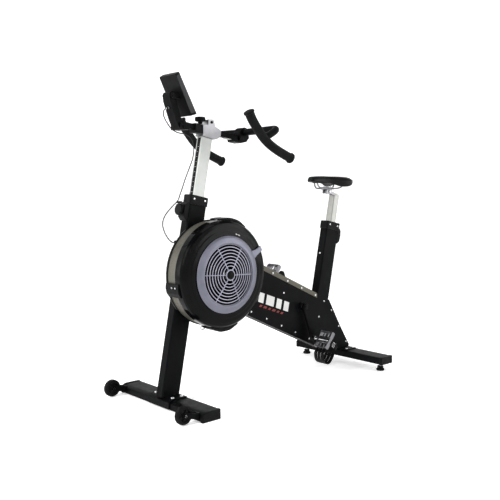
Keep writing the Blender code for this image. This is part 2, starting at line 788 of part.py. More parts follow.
def console():
    p = CONSOLE_PTS
    ring = [p["back_low"], p["front_low"], p["front_top"], p["back_top"]]
    cx = sum(q[0] for q in ring) / 4
    cz = sum(q[1] for q in ring) / 4
    loops = []
    for y, k in ((-CONSOLE_HALF, 0.95), (-CONSOLE_HALF + 0.003, 1.0),
                 (CONSOLE_HALF - 0.003, 1.0), (CONSOLE_HALF, 0.95)):
        loops.append([(cx + (x - cx) * k, y, cz + (z - cz) * k) for x, z in ring])
    bm = bmesh.new()
    add_loft(bm, loops)
    shell = new_object("console_shell", bm, "black_plastic", False, (TILT_X, 0.0, TILT_Z))
    bm = bmesh.new()
    face_box(bm, 0.072, 0.176, -0.048, 0.048, -0.0025, 0.01)
    cutters = [piece_from(bm)]
    a, along, out = face_frame()
    for y in BUTTON_Y:
        at = a + along * BUTTON_S + Vector((0, y, 0))
        cutters.append(cutter_rod(at, out, 0.0082, 0.0060, 20))
    cut(shell, cutters)
    fuse(shell, lugs() + [cross_pin(TILT_X, TILT_Z, 0.0031, 0.0060, 0.0305, 0.0350)])
    bm = bmesh.new()
    face_box(bm, 0.0723, 0.1757, -0.0477, 0.0477, -0.0022, -0.0004)
    new_object("console_screen", bm, "screen", False, (TILT_X, 0.0, TILT_Z))


BUTTON_Y = (-0.028, 0.028)
BUTTON_S = 0.038


def lugs():
    """Two lugs behind the console hold the arm's upper pin."""
    outline = arc(TILT_X, TILT_Z, 0.0120, 90.0, 270.0, 6)
    outline += [(-0.4610, 1.3180), (-0.4730, 1.3420)]
    pieces = []
    for y in (-0.0315, 0.0260):
        bm = bmesh.new()
        add_prism_y(bm, outline, y, y + 0.0055)
        pieces.append(piece_from(bm))
    return pieces


def console_buttons():
    a, along, out = face_frame()
    for number, y in enumerate(BUTTON_Y, 1):
        at = a + along * BUTTON_S + Vector((0, y, 0))
        bm = bmesh.new()
        add_rod(bm, at, out, [(0.0078, -0.0040), (0.0078, 0.0012), (0.0066, 0.0020)], 18)
        new_object("console_button_" + str(number), bm, "black_plastic", True, at)


# ---- fan ----

FAN_C = (FAN_X, 0.0, FAN_Z)
OUT = (0.0, -1.0, 0.0)


def fan_ring(name, profile, style, n):
    bm = bmesh.new()
    add_annulus(bm, FAN_C, OUT, profile, n)
    return new_object(name, bm, style, True)


def fan_housing():
    fan_ring("fan_back_cover",
             [(0.0230, 0.0278), (0.0600, 0.0278), (0.0640, 0.0385), (FAN_R, 0.0385),
              (FAN_R, 0.0480), (0.2325, 0.0480), (0.2325, 0.0405), (0.0230, 0.0405)],
             "gloss_black", 40)
    fan_ring("fan_band", square_ring(0.2288, 0.2308, 0.0408, 0.1120), "mesh_metal", 40)
    fan_ring("fan_cover",
             [(0.2325, 0.1000), (0.2355, 0.1030), (0.2355, 0.1360), (0.2325, 0.1460),
              (0.2240, 0.1545), (0.2100, 0.1595), (0.1270, 0.1640), (0.1270, 0.1612),
              (0.2090, 0.1565), (0.2220, 0.1522), (0.2325, 0.1380)],
             "gloss_black", 40)


def arc_block(bm, r0, r1, h0, h1, a0, a1, n):
    """Curved block on the housing's rim, between two angles."""
    loops = []
    for i in range(n + 1):
        a = math.radians(a0 + (a1 - a0) * i / n)
        c = math.cos(a)
        s = math.sin(a)
        lift = min(1.0, 0.35 + 2.0 * min(i, n - i) / n)
        top = r0 + (r1 - r0) * lift
        loops.append([(FAN_X + r * c, -h, FAN_Z + r * s)
                      for r, h in ((r0, h0), (top, h0), (top, h1), (r0, h1))])
    add_loft(bm, loops)


def band_clips():
    for name, r1, h0, h1, a0, a1, n in (("top", 0.2480, 0.0540, 0.1360, 57.0, 92.0, 8),
                                        ("left", 0.2450, 0.0420, 0.1300, 186.0, 201.0, 5)):
        bm = bmesh.new()
        arc_block(bm, 0.2359, r1, h0, h1, a0, a1, n)
        new_object("band_clip_" + name, bm, "black_plastic")


def damper():
    bm = bmesh.new()
    add_annulus(bm, FAN_C, OUT, [(RING_IN, 0.1646), (RING_OUT, 0.1646), (RING_OUT, 0.1672),
                                 (0.1600, 0.1722), (0.1470, 0.1758),
                                 (RING_IN, 0.1768)], 36)
    ring = new_object("damper_ring", bm, "silver_paint", False, FAN_C)
    lever = bmesh.new()
    mid = math.radians(28.0)
    c = math.cos(mid)
    s = math.sin(mid)
    loops = []
    for h0, h1, r, w in ((0.1648, 0.1692, 0.1670, 0.0190), (0.1648, 0.1692, 0.1790, 0.0170),
                         (0.1648, 0.1690, 0.2080, 0.0125), (0.1612, 0.1660, 0.2240, 0.0115)):
        loops.append([(FAN_X + r * c - q * s, -h, FAN_Z + r * s + q * c)
                      for q, h in ((-w, h0), (w, h0), (w, h1), (-w, h1))])
    add_loft(lever, loops)
    fuse(ring, [piece_from(lever)])


GRILLE_R = (0.0520, 0.0805, 0.1075)


def dome(r):
    return 0.0105 * (1.0 - (r / 0.130) ** 2)


def grille():
    """Guard over the air inlet: hoops on six spokes between a rim and a hub ring."""
    bm = bmesh.new()
    add_annulus(bm, FAN_C, OUT, square_ring(0.1282, 0.1338, 0.1643, 0.1735), 32)
    guard = new_object("grille", bm, "silver_paint")
    pieces = []
    for r in GRILLE_R:
        d = dome(r)
        bm = bmesh.new()
        add_annulus(bm, FAN_C, OUT, square_ring(r - 0.0019, r + 0.0019, 0.1705 + d, 0.1735 + d),
                    24)
        pieces.append(piece_from(bm))
    bm = bmesh.new()
    add_annulus(bm, FAN_C, OUT, square_ring(0.0190, 0.0250, 0.1740, 0.1860), 16)
    pieces.append(piece_from(bm))
    for k in range(6):
        a = math.radians(60.0 * k - 2.9)
        c = math.cos(a)
        s = math.sin(a)
        loops = []
        for r in (0.0235, 0.0520, 0.0800, 0.1060, 0.1300):
            loops.append([(FAN_X + r * c - q * s, -(h + dome(r)), FAN_Z + r * s + q * c)
                          for q, h in ((-0.0022, 0.1687), (0.0022, 0.1687), (0.0022, 0.1714),
                                       (-0.0022, 0.1714))])
        bm = bmesh.new()
        add_loft(bm, loops)
        pieces.append(piece_from(bm))
    fuse(guard, pieces)
    bm = bmesh.new()
    add_rod(bm, FAN_C, OUT, [(0.0184, 0.1745), (0.0184, 0.1880), (0.0150, 0.1915),
                             (0.0080, 0.1930)], 20)
    new_object("hub_cap", bm, "black_plastic", True)


def fan_rotor():
    bm = bmesh.new()
    add_rod(bm, FAN_C, OUT, [(0.0080, -0.0345), (0.0080, 0.0030), (FAN_PULLEY_R, 0.0030),
                             (FAN_PULLEY_R, 0.0170), (0.0080, 0.0170), (0.0080, 0.1440)], 24)
    new_object("fan_shaft", bm, "steel", False, FAN_C)
    bm = bmesh.new()
    add_annulus(bm, FAN_C, OUT, [(0.0083, 0.0520), (0.2050, 0.0520), (0.2050, 0.0550),
                                 (0.0300, 0.0550), (0.0280, 0.0750), (0.0083, 0.0750)], 24)
    wheel = new_object("fan_wheel", bm, "cast_alloy", False, FAN_C)
    blades = []
    for k in range(BLADES):
        a = 2.0 * math.pi * (k + 0.5) / BLADES
        loops = []
        for r, turn, h1 in ((0.0750, 0.0, 0.1250), (0.2020, 0.10, 0.1400)):
            c = math.cos(a + turn)
            s = math.sin(a + turn)
            loops.append([(FAN_X + r * c - q * s, -h, FAN_Z + r * s + q * c)
                          for q, h in ((-0.001, 0.0535), (0.001, 0.0535), (0.001, h1),
                                       (-0.001, h1))])
        bm = bmesh.new()
        add_loft(bm, loops)
        blades.append(piece_from(bm))
    fuse(wheel, blades)


# ---- drive ----

def belt(name, c0, r0, c1, r1, h0, h1):
    """Flat loop round two pulleys."""
    c0 = Vector((c0[0], c0[1]))
    c1 = Vector((c1[0], c1[1]))
    run = c1 - c0
    dist = run.length
    base = math.atan2(run.y, run.x)
    lean = math.acos((r0 - r1) / dist)
    loops = {}
    for key, grow in (("in", GAP * 2), ("out", GAP * 2 + 0.0020)):
        pts = []
        for k in range(17):
            a = base + lean + (2 * math.pi - 2 * lean) * k / 16
            pts.append((c0.x + (r0 + grow) * math.cos(a), c0.y + (r0 + grow) * math.sin(a)))
        for k in range(13):
            a = base - lean + 2 * lean * k / 12
            pts.append((c1.x + (r1 + grow) * math.cos(a), c1.y + (r1 + grow) * math.sin(a)))
        loops[key] = pts
    bm = bmesh.new()
    add_ring(bm, [[(x, h0, z) for x, z in loops["in"]], [(x, h0, z) for x, z in loops["out"]],
                  [(x, h1, z) for x, z in loops["out"]], [(x, h1, z) for x, z in loops["in"]]])
    new_object(name, bm, "rubber")


def drive():
    jack = (JACK_X, 0.0, JACK_Z)
    crank = (CRANK_X, 0.0, CRANK_Z)
    belt("belt_first", (CRANK_X, CRANK_Z), DRIVE_R, (JACK_X, JACK_Z), JACK_SMALL_R,
         0.004, 0.016)
    belt("belt_second", (JACK_X, JACK_Z), JACK_BIG_R, (FAN_X, FAN_Z), FAN_PULLEY_R,
         -0.016, -0.004)
    bm = bmesh.new()
    add_rod(bm, jack, (0, 1, 0), [(0.0060, -0.0274), (0.0060, -0.0170), (JACK_BIG_R, -0.0170),
                                  (JACK_BIG_R, -0.0030), (JACK_SMALL_R, -0.0030),
                                  (JACK_SMALL_R, 0.0170), (0.0060, 0.0170),
                                  (0.0060, 0.0274)], 24)
    new_object("jackshaft", bm, "cast_alloy", False, jack)
    bm = bmesh.new()
    add_rod(bm, crank, (0, 1, 0), [(0.0095, -0.0480), (0.0095, 0.0030), (DRIVE_R, 0.0030),
                                   (DRIVE_R, 0.0170), (0.0095, 0.0170), (0.0095, 0.0480)], 32)
    new_object("crank_axle", bm, "cast_alloy", False, crank)


def pedal_centre(side):
    """The left pedal is down, the right one is up."""
    down = -side
    return Vector((CRANK_X + down * CRANK_LEN * math.sin(CRANK_TILT), side * PEDAL_Y,
                   CRANK_Z - down * CRANK_LEN * math.cos(CRANK_TILT)))


def crank_outline(side):
    p = pedal_centre(side)
    ang = math.degrees(math.atan2(p.z - CRANK_Z, p.x - CRANK_X))
    out = arc(CRANK_X, CRANK_Z, 0.0190, ang + 95.0, ang + 265.0, 10)
    out += arc(p.x, p.z, 0.0140, ang - 85.0, ang + 85.0, 10)
    return out


def crank_arms():
    crank = (CRANK_X, 0.0, CRANK_Z)
    for side, name in ((-1.0, "left"), (1.0, "right")):
        outline = crank_outline(side)
        cx = sum(p[0] for p in outline) / len(outline)
        cz = sum(p[1] for p in outline) / len(outline)
        loops = []
        for y, k in ((0.0484, 0.97), (0.0500, 1.0), (0.0600, 1.0), (0.0620, 0.96)):
            loops.append([(cx + (x - cx) * k, side * y, cz + (z - cz) * k) for x, z in outline])
        bm = bmesh.new()
        add_loft(bm, loops)
        arm = new_object("crank_arm_" + name, bm, "gloss_black", False, crank)
        p = pedal_centre(side)
        bm = bmesh.new()
        add_rod(bm, (p.x, side * 0.0600, p.z), (0, side, 0),
                [(0.0095, 0.0), (0.0095, 0.0083), (0.0060, 0.0093), (0.0060, 0.1090)], 14)
        fuse(arm, [piece_from(bm)])


def pedals():
    for side, name in ((-1.0, "left"), (1.0, "right")):
        c = pedal_centre(side)
        bm = bmesh.new()
        half_x = 0.046
        y0 = 0.092
        y1 = 0.1715
        ys = sorted((side * y0, side * y1))
        add_prism_y(bm, [(c.x - half_x, c.z - 0.008), (c.x - half_x + 0.004, c.z - 0.012),
                         (c.x + half_x - 0.004, c.z - 0.012), (c.x + half_x, c.z - 0.008),
                         (c.x + half_x, c.z + 0.008), (c.x + half_x - 0.004, c.z + 0.012),
                         (c.x - half_x + 0.004, c.z + 0.012), (c.x - half_x, c.z + 0.008)],
                    ys[0], ys[1])
        body = new_object("pedal_" + name, bm, "cast_alloy", False, c)
        cutters = []
        for dx0, dx1 in ((-0.037, -0.013), (0.013, 0.037)):
            bm = bmesh.new()
            a, b = sorted((side * (y0 + 0.009), side * (y1 - 0.009)))
            add_box(bm, (c.x + dx0, a, c.z - 0.03), (c.x + dx1, b, c.z + 0.03))
            cutters.append(piece_from(bm))
        cutters.append(cutter_rod((c.x, side * 0.12, c.z), (0, 1, 0), 0.0066, 0.08, 16))
        cut(body, cutters)
        fuse(body, toe_cage(side, c))
        body.data.transform(Matrix.Rotation(-PEDAL_HANG, 4, "Y"))


def toe_cage(side, c):
    """Basket ahead of and below the tread, and the strap that closes it."""
    outer = [(-0.0460, -0.0040), (-0.0750, -0.0050), (-0.0980, -0.0250), (-0.1050, -0.0500),
             (-0.0950, -0.0720), (-0.0700, -0.0810), (-0.0350, -0.0790)]
    inner = [(-0.0350, -0.0760), (-0.0700, -0.0780), (-0.0930, -0.0697), (-0.1019, -0.0496),
             (-0.0953, -0.0265), (-0.0738, -0.0080), (-0.0440, -0.0070)]
    ys = sorted((side * 0.1010, side * 0.1620))
    bm = bmesh.new()
    add_prism_y(bm, [(c.x + dx, c.z + dz) for dx, dz in outer + inner], ys[0], ys[1])
    cage = piece_from(bm)
    y_in = side * 0.0926
    y_out = side * 0.1709
    t = side * 0.0016
    loop_out = [(y_in - t, -0.0085), (y_in - t, -0.0500), (y_in + 6 * t, -0.0780),
                (y_out - 6 * t, -0.0780), (y_out + t, -0.0500), (y_out + t, -0.0085)]
    loop_in = [(y_out, -0.0085), (y_out, -0.0495), (y_out - 6.6 * t, -0.0762),
               (y_in + 6.6 * t, -0.0762), (y_in, -0.0495), (y_in, -0.0085)]
    bm = bmesh.new()
    add_prism_x(bm, [(y, c.z + dz) for y, dz in loop_out + loop_in], c.x - 0.0165, c.x + 0.0045)
    return [cage, piece_from(bm)]


# ---- saddle ----

def seat_head():
    bm = bmesh.new()
    add_prism_y(bm, [(0.5365, 0.9073), (0.5760, 0.9073), (0.5740, 0.9135), (0.5450, 0.9215),
                     (0.5130, 0.9340), (0.5030, 0.9360), (0.4950, 0.9320), (0.4930, 0.9230),
                     (0.4980, 0.9165), (0.5100, 0.9140), (0.5300, 0.9120)], -0.0120, 0.0120)
    neck = new_object("seat_head", bm, "cast_alloy")
    fuse(neck, [cross_pin(CLAMP_X, CLAMP_Z, 0.0040, 0.0070, 0.0173, 0.0215)])


def saddle_clamp():
    """Yoke under the saddle's rails and the plate that holds them down on it."""
    bm = bmesh.new()
    add_prism_x(bm, [(-0.0300, 0.9366), (-0.0170, 0.9366), (-0.0170, 0.9160), (-0.0124, 0.9160),
                     (-0.0124, 0.9366), (0.0124, 0.9366), (0.0124, 0.9160), (0.0170, 0.9160),
                     (0.0170, 0.9366), (0.0300, 0.9366), (0.0300, 0.9384), (-0.0300, 0.9384)],
                0.4850, 0.5210)
    yoke = new_object("saddle_clamp", bm, "cast_alloy", False, (CLAMP_X, 0.0, CLAMP_Z))
    cut(yoke, [cutter_rod((CLAMP_X, 0, CLAMP_Z), (0, 1, 0), 0.0044, 0.03, 12)])
    bm = bmesh.new()
    add_box(bm, (0.4850, -0.0300, 0.9462), (0.5210, 0.0300, 0.9500))
    top = piece_from(bm)
    bm = bmesh.new()
    add_box(bm, (0.4960, -0.0080, 0.9375), (0.5100, 0.0080, 0.9470))
    fuse(yoke, [piece_from(bm), top])


def saddle_rails():
    rails = []
    for side in (-1.0, 1.0):
        bm = bmesh.new()
        route = [(0.4150, side * 0.0100, 0.9708), (0.4240, side * 0.0130, 0.9520),
                 (0.4400, side * 0.0180, 0.9430), (0.4600, side * 0.0210, 0.9423),
                 (0.5050, side * 0.0215, 0.9423), (0.5500, side * 0.0220, 0.9423),
                 (0.5750, side * 0.0270, 0.9470), (0.5900, side * 0.0320, 0.9570),
                 (0.5980, side * 0.0350, 0.9708)]
        add_tube(bm, smooth_path(route, 13), 0.0035, 7)
        rails.append(piece_from(bm))
    outline = [(0.3950, -0.0100), (0.4500, -0.0130), (0.5150, -0.0230), (0.5600, -0.0400),
               (0.5950, -0.0470), (0.6120, -0.0400), (0.6180, -0.0200), (0.6180, 0.0200),
               (0.6120, 0.0400), (0.5950, 0.0470), (0.5600, 0.0400), (0.5150, 0.0230),
               (0.4500, 0.0130), (0.3950, 0.0100)]
    bm = bmesh.new()
    add_prism_z(bm, outline, 0.9698, 0.9728)
    fuse(new_object("saddle_base", bm, "black_plastic"), rails)


def saddle_section(x, half, top, low, crown, arch):
    """Outline across the saddle: domed top, skirts at the sides, hollow underneath."""
    pts = [(0.0, top), (0.45, top + crown), (0.78, top + crown - 0.004), (0.95, top - 0.014),
           (1.0, top - 0.020), (0.96, low + 0.004), (0.88, low), (0.80, low + 0.002),
           (0.70, arch), (0.0, arch)]
    right = [(x, half * f, z) for f, z in pts]
    left = [(x, -half * f, z) for f, z in reversed(pts[1:-1])]
    return right + left


def saddle_cover():
    stations = [(0.3690, 0.0120, 0.9930, 0.9790, 0.0, 0.9800),
                (0.3740, 0.0190, 0.9985, 0.9755, 0.0, 0.9780),
                (0.3850, 0.0240, 1.0020, 0.9735, 0.0, 0.9745),
                (0.4200, 0.0270, 1.0050, 0.9715, 0.0, 0.9735),
                (0.4600, 0.0310, 1.0045, 0.9700, 0.001, 0.9735),
                (0.5000, 0.0410, 1.0030, 0.9665, 0.002, 0.9735),
                (0.5400, 0.0590, 1.0020, 0.9540, 0.003, 0.9735),
                (0.5750, 0.0730, 1.0010, 0.9510, 0.003, 0.9735),
                (0.6050, 0.0780, 0.9990, 0.9550, 0.003, 0.9735),
                (0.6270, 0.0700, 0.9960, 0.9640, 0.002, 0.9735),
                (0.6370, 0.0500, 0.9920, 0.9720, 0.001, 0.9745)]
    bm = bmesh.new()
    add_loft(bm, [saddle_section(*s) for s in stations])
    new_object("saddle_cover", bm, "vinyl", True)


# ---- console lead ----

def console_lead():
    """Thin lead from the plug on the arm, down in front of the mast to the fan's sensor."""
    bm = bmesh.new()
    add_box(bm, (-0.5060, -0.0382, 0.7000), (-0.4780, -0.0290, 0.7180))
    new_object("fan_sensor", bm, "black_plastic")
    route = [(-0.5204, 0.0, 1.2745), (-0.5275, 0.0, 1.2712), (-0.5330, 0.0, 1.2590),
             (-0.5310, 0.0, 1.2420),
             (-0.5160, 0.0, 1.2180), (-0.4930, 0.0, 1.1930), (-0.4620, 0.0, 1.1790),
             (-0.4180, 0.0, 1.1720), (-0.3860, 0.0, 1.1540), (-0.3740, 0.0, 1.1170),
             (-0.3800, 0.0, 1.0730), (-0.3990, 0.0, 1.0290), (-0.4200, 0.0, 0.9850),
             (-0.4380, 0.0, 0.9420), (-0.4520, 0.0, 0.9100), (-0.4640, 0.0, 0.8860),
             (-0.4940, 0.0, 0.8610), (-0.5290, -0.0050, 0.8310), (-0.5500, -0.0120, 0.8020),
             (-0.5560, -0.0200, 0.7770), (-0.5500, -0.0270, 0.7500), (-0.5370, -0.0315, 0.7270),
             (-0.5210, -0.0335, 0.7125), (-0.5068, -0.0335, 0.7105)]
    curve = bpy.data.curves.new("console_lead", "CURVE")
    curve.dimensions = "3D"
    curve.bevel_depth = 0.0021
    curve.bevel_resolution = 2
    curve.use_fill_caps = True
    pts = smooth_path(route, 62)
    spline = curve.splines.new("POLY")
    spline.points.add(len(pts) - 1)
    for point, at in zip(spline.points, pts):
        point.co = (*at, 1.0)
    lead = bpy.data.objects.new("console_lead", curve)
    bpy.context.scene.collection.objects.link(lead)
    curve.materials.append(material("m_console_lead", "black_plastic"))


def main():
    clear_scene()
    floor_frame()
    levelling_feet()
    transport_wheels()
    front_post()
    steel_tube("seat_tube", SEAT, 0.1650, 0.7550)
    frame_plates()
    frame_covers()
    collars()
    front_mast()
    seat_mast()
    head()
    reach_rail()
    bar_bracket()
    handlebar()
    console_arm()
    clevis()
    console()
    console_buttons()
    fan_housing()
    band_clips()
    damper()
    grille()
    fan_rotor()
    drive()
    crank_arms()
    pedals()
    seat_head()
    saddle_clamp()
    saddle_rails()
    saddle_cover()
    console_lead()


main()
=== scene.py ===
"""Air bike: the finished look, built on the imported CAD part."""
import json
import math

import bmesh
import bpy
from mathutils import Matrix, Vector

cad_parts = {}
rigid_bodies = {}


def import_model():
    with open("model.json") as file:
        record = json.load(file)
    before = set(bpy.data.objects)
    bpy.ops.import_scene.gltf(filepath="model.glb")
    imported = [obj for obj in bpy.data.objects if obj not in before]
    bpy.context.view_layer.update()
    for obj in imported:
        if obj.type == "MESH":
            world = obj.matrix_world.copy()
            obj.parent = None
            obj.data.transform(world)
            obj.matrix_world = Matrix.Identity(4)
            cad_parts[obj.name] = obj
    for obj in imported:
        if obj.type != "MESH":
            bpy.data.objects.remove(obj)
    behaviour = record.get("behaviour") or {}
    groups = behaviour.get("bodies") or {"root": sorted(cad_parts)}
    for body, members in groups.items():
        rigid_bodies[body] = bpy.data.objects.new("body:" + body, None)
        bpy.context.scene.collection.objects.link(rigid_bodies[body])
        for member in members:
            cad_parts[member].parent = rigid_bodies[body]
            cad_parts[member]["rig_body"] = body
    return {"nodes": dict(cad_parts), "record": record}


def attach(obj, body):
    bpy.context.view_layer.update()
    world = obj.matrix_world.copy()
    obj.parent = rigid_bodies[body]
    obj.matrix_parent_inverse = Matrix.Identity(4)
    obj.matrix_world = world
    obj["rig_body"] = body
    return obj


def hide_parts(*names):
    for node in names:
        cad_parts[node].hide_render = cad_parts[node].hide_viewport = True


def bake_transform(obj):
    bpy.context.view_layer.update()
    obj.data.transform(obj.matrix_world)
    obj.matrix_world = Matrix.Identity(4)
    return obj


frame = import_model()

CAD = frame["nodes"]
NODE_BODY = {n: b for b, ns in frame["record"]["behaviour"]["bodies"].items() for n in ns}
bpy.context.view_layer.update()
SMOOTH_ANGLE = math.radians(38.0)

# ---- camera ----

CAMERA_AT = (-2.27871, -2.47422, 0.92807)
CAMERA_YAW = math.radians(42.8846)
CAMERA_DIP = math.radians(4.7447)
CAMERA_LENS = 50.7
CAMERA_SENSOR = 36.0
CAMERA_SHIFT = (-0.0191, -0.0008)


def place(name, data):
    """Object for a mesh, camera or lamp, linked into the scene."""
    obj = bpy.data.objects.new(name, data)
    bpy.context.scene.collection.objects.link(obj)
    return obj


def camera():
    data = bpy.data.cameras.new("camera")
    data.lens = CAMERA_LENS
    data.sensor_width = CAMERA_SENSOR
    data.shift_x, data.shift_y = CAMERA_SHIFT
    cam = place("camera", data)
    cam.location = CAMERA_AT
    look = Vector((math.sin(CAMERA_YAW) * math.cos(CAMERA_DIP),
                   math.cos(CAMERA_YAW) * math.cos(CAMERA_DIP), -math.sin(CAMERA_DIP)))
    cam.rotation_mode = "QUATERNION"
    cam.rotation_quaternion = look.to_track_quat("-Z", "Y")
    bpy.context.scene.camera = cam


# ---- places and directions that several sections share ----

SIDES = ((-1.0, "left"), (1.0, "right"))
FRONT_FOOT = Vector((-0.5351, 0, 0))
FRONT_UP = Vector((0.188461, 0, 0.982081))
SEAT_FOOT = Vector((0.3748, 0, 0))
SEAT_UP = Vector((0.199413, 0, 0.979915))


def across(up):
    """Rearward direction square to a leaning post."""
    return Vector((up.z, 0, -up.x))


# ---- shapes ----

def mirrored(half):
    """Closed outline from its lower half."""
    return half + [(a, -b) for a, b in reversed(half)]


def rect(a0, a1, b0, b1):
    """Corners of a rectangle, in order round it."""
    return [(a0, b0), (a1, b0), (a1, b1), (a0, b1)]


def on_side(side, a, b):
    """Lower and upper y of a layer that lies a to b off the middle plane."""
    return sorted((side * a, side * b))


def heading(line, k):
    """Direction of a polyline at its point k."""
    return (line[min(k + 1, len(line) - 1)] - line[max(k - 1, 0)]).normalized()


def spline(p0, p1, p2, p3, t):
    """Catmull-Rom value between p1 and p2."""
    return 0.5 * (2 * p1 + (p2 - p0) * t + (2 * p0 - 5 * p1 + 4 * p2 - p3) * t ** 2
                  + (3 * p1 - p0 - 3 * p2 + p3) * t ** 3)


def catmull(points, step):
    """Smooth line through points, with a point about every step metres."""
    pts = [Vector(p) for p in points]
    ext = [pts[0] * 2 - pts[1]] + pts + [pts[-1] * 2 - pts[-2]]
    out = []
    for i in range(1, len(ext) - 2):
        p0, p1, p2, p3 = ext[i - 1:i + 3]
        n = max(1, round((p2 - p1).length / step))
        for k in range(n):
            out.append(spline(p0, p1, p2, p3, k / n))
    out.append(pts[-1])
    return out


def fillet(points, radius, n=4, closed=True):
    """Rounds the corners of a flat outline."""
    pts = [Vector((p[0], p[1])) for p in points]
    count = len(pts)
    out = []
    for i, p in enumerate(pts):
        if not closed and i in (0, count - 1):
            out.append((p.x, p.y))
            continue
        a = pts[i - 1] - p
        b = pts[(i + 1) % count] - p
        if a.length < 1e-9 or b.length < 1e-9:
            continue
        half = a.angle(b, math.pi) / 2
        if half > math.radians(86):
            out.append((p.x, p.y))
            continue
        back = min(radius / math.tan(half), 0.48 * a.length, 0.48 * b.length)
        s = p + a.normalized() * back
        e = p + b.normalized() * back
        for k in range(n + 1):
            t = k / n
            q = s * (1 - t) ** 2 + p * 2 * t * (1 - t) + e * t ** 2
            out.append((q.x, q.y))
    return out


def axes(axis):
    """Two directions square to axis, and axis itself."""
    w = Vector(axis).normalized()
    ref = Vector((1, 0, 0)) if abs(w.x) < 0.9 else Vector((0, 0, 1))
    u = (ref - w * ref.dot(w)).normalized()
    return u, w.cross(u), w


def skin(bm, loops, closed_loop=True, wrap=False, caps=True):
    """Joins loops of points into a skin. A loop of one point is a pole."""
    rows = [[bm.verts.new(p) for p in loop] for loop in loops]
    pairs = list(zip(rows, rows[1:])) + ([(rows[-1], rows[0])] if wrap else [])
    for a, b in pairs:
        n = max(len(a), len(b))
        for k in range(n if closed_loop else n - 1):
            m = (k + 1) % n
            quad = [a[k % len(a)], a[m % len(a)], b[m % len(b)], b[k % len(b)]]
            face = [v for i, v in enumerate(quad) if v not in quad[:i]]
            if len(face) > 2:
                bm.faces.new(face)
    if caps and not wrap and closed_loop:
        for row in (rows[0], rows[-1]):
            if len(row) > 2:
                bm.faces.new(row)


def lathe(bm, origin, axis, profile, n=64, wrap=True, knurl=0.0, teeth=24):
    """Turned shape: profile is (radius, height) pairs. knurl scallops the largest radii."""
    u, v, w = axes(axis)
    o = Vector(origin)
    big = max(r for r, _ in profile)
    loops = []
    for r, h in profile:
        if r < 1e-6:
            loops.append([o + w * h])
            continue
        loop = []
        for k in range(n):
            a = math.tau * k / n
            rr = r - (knurl * (0.5 + 0.5 * math.cos(teeth * a)) if r > 0.86 * big else 0.0)
            loop.append(o + w * h + (u * math.cos(a) + v * math.sin(a)) * rr)
        loops.append(loop)
    skin(bm, loops, wrap=wrap)


def tube(bm, path, radius, n=20):
    """Round tube along a line; radius is one number or one per point."""
    pts = [Vector(p) for p in path]
    radii = radius if hasattr(radius, "__len__") else [radius] * len(pts)
    side = None
    loops = []
    for i, p in enumerate(pts):
        d = heading(pts, i)
        if side is None:
            side = axes(d)[0]
        side = (side - d * side.dot(d)).normalized()
        up = d.cross(side)
        loops.append([p + (side * math.cos(math.tau * k / n) + up * math.sin(math.tau * k / n)) *
                      radii[i] for k in range(n)])
    skin(bm, loops)


def prism(bm, outline, plane, a, b):
    """Outline pushed along y, where it holds (x, z), or along z, where it holds (x, y)."""
    if plane == "y":
        loops = [[(p[0], d, p[1]) for p in outline] for d in (a, b)]
    else:
        loops = [[(p[0], p[1], d) for p in outline] for d in (a, b)]
    skin(bm, loops)


def block(bm, low, high):
    """Box between two corners."""
    prism(bm, rect(low[0], high[0], low[1], high[1]), "z", low[2], high[2])


def cap_screw(bm, centre, axis, r, h):
    """Round-headed screw with a hexagonal socket."""
    u, v, w = axes(axis)
    o = Vector(centre)
    around = 18
    loops = []
    for i, (wide, up) in enumerate(((1, 0), (1, 0.55), (0.86, 0.92), (0.7, 1), (0.5, 1),
                                    (0.5, 0.35))):
        loop = []
        for k in range(around):
            a = math.tau * k / around
            s = r * wide
            if i > 3:
                s *= math.cos(math.pi / 6) / math.cos(a % (math.pi / 3) - math.pi / 6)
            loop.append(o + w * (h * up) + (u * math.cos(a) + v * math.sin(a)) * s)
        loops.append(loop)
    skin(bm, loops)


def arc_block(bm, centre, r0, r1, h0, h1, a0, a1, n=16):
    """Curved block on a rim whose axis is -Y, with both ends ramped down."""
    loops = []
    for i in range(n + 1):
        a = math.radians(a0 + (a1 - a0) * i / n)
        lift = min(1.0, 0.35 + 2.0 * min(i, n - i) / n)
        top = r0 + (r1 - r0) * lift
        loops.append([(centre[0] + r * math.cos(a), -h, centre[2] + r * math.sin(a))
                      for r, h in rect(r0, top, h0, h1)])
    skin(bm, loops)


# ---- finishes ----

MAT = {}


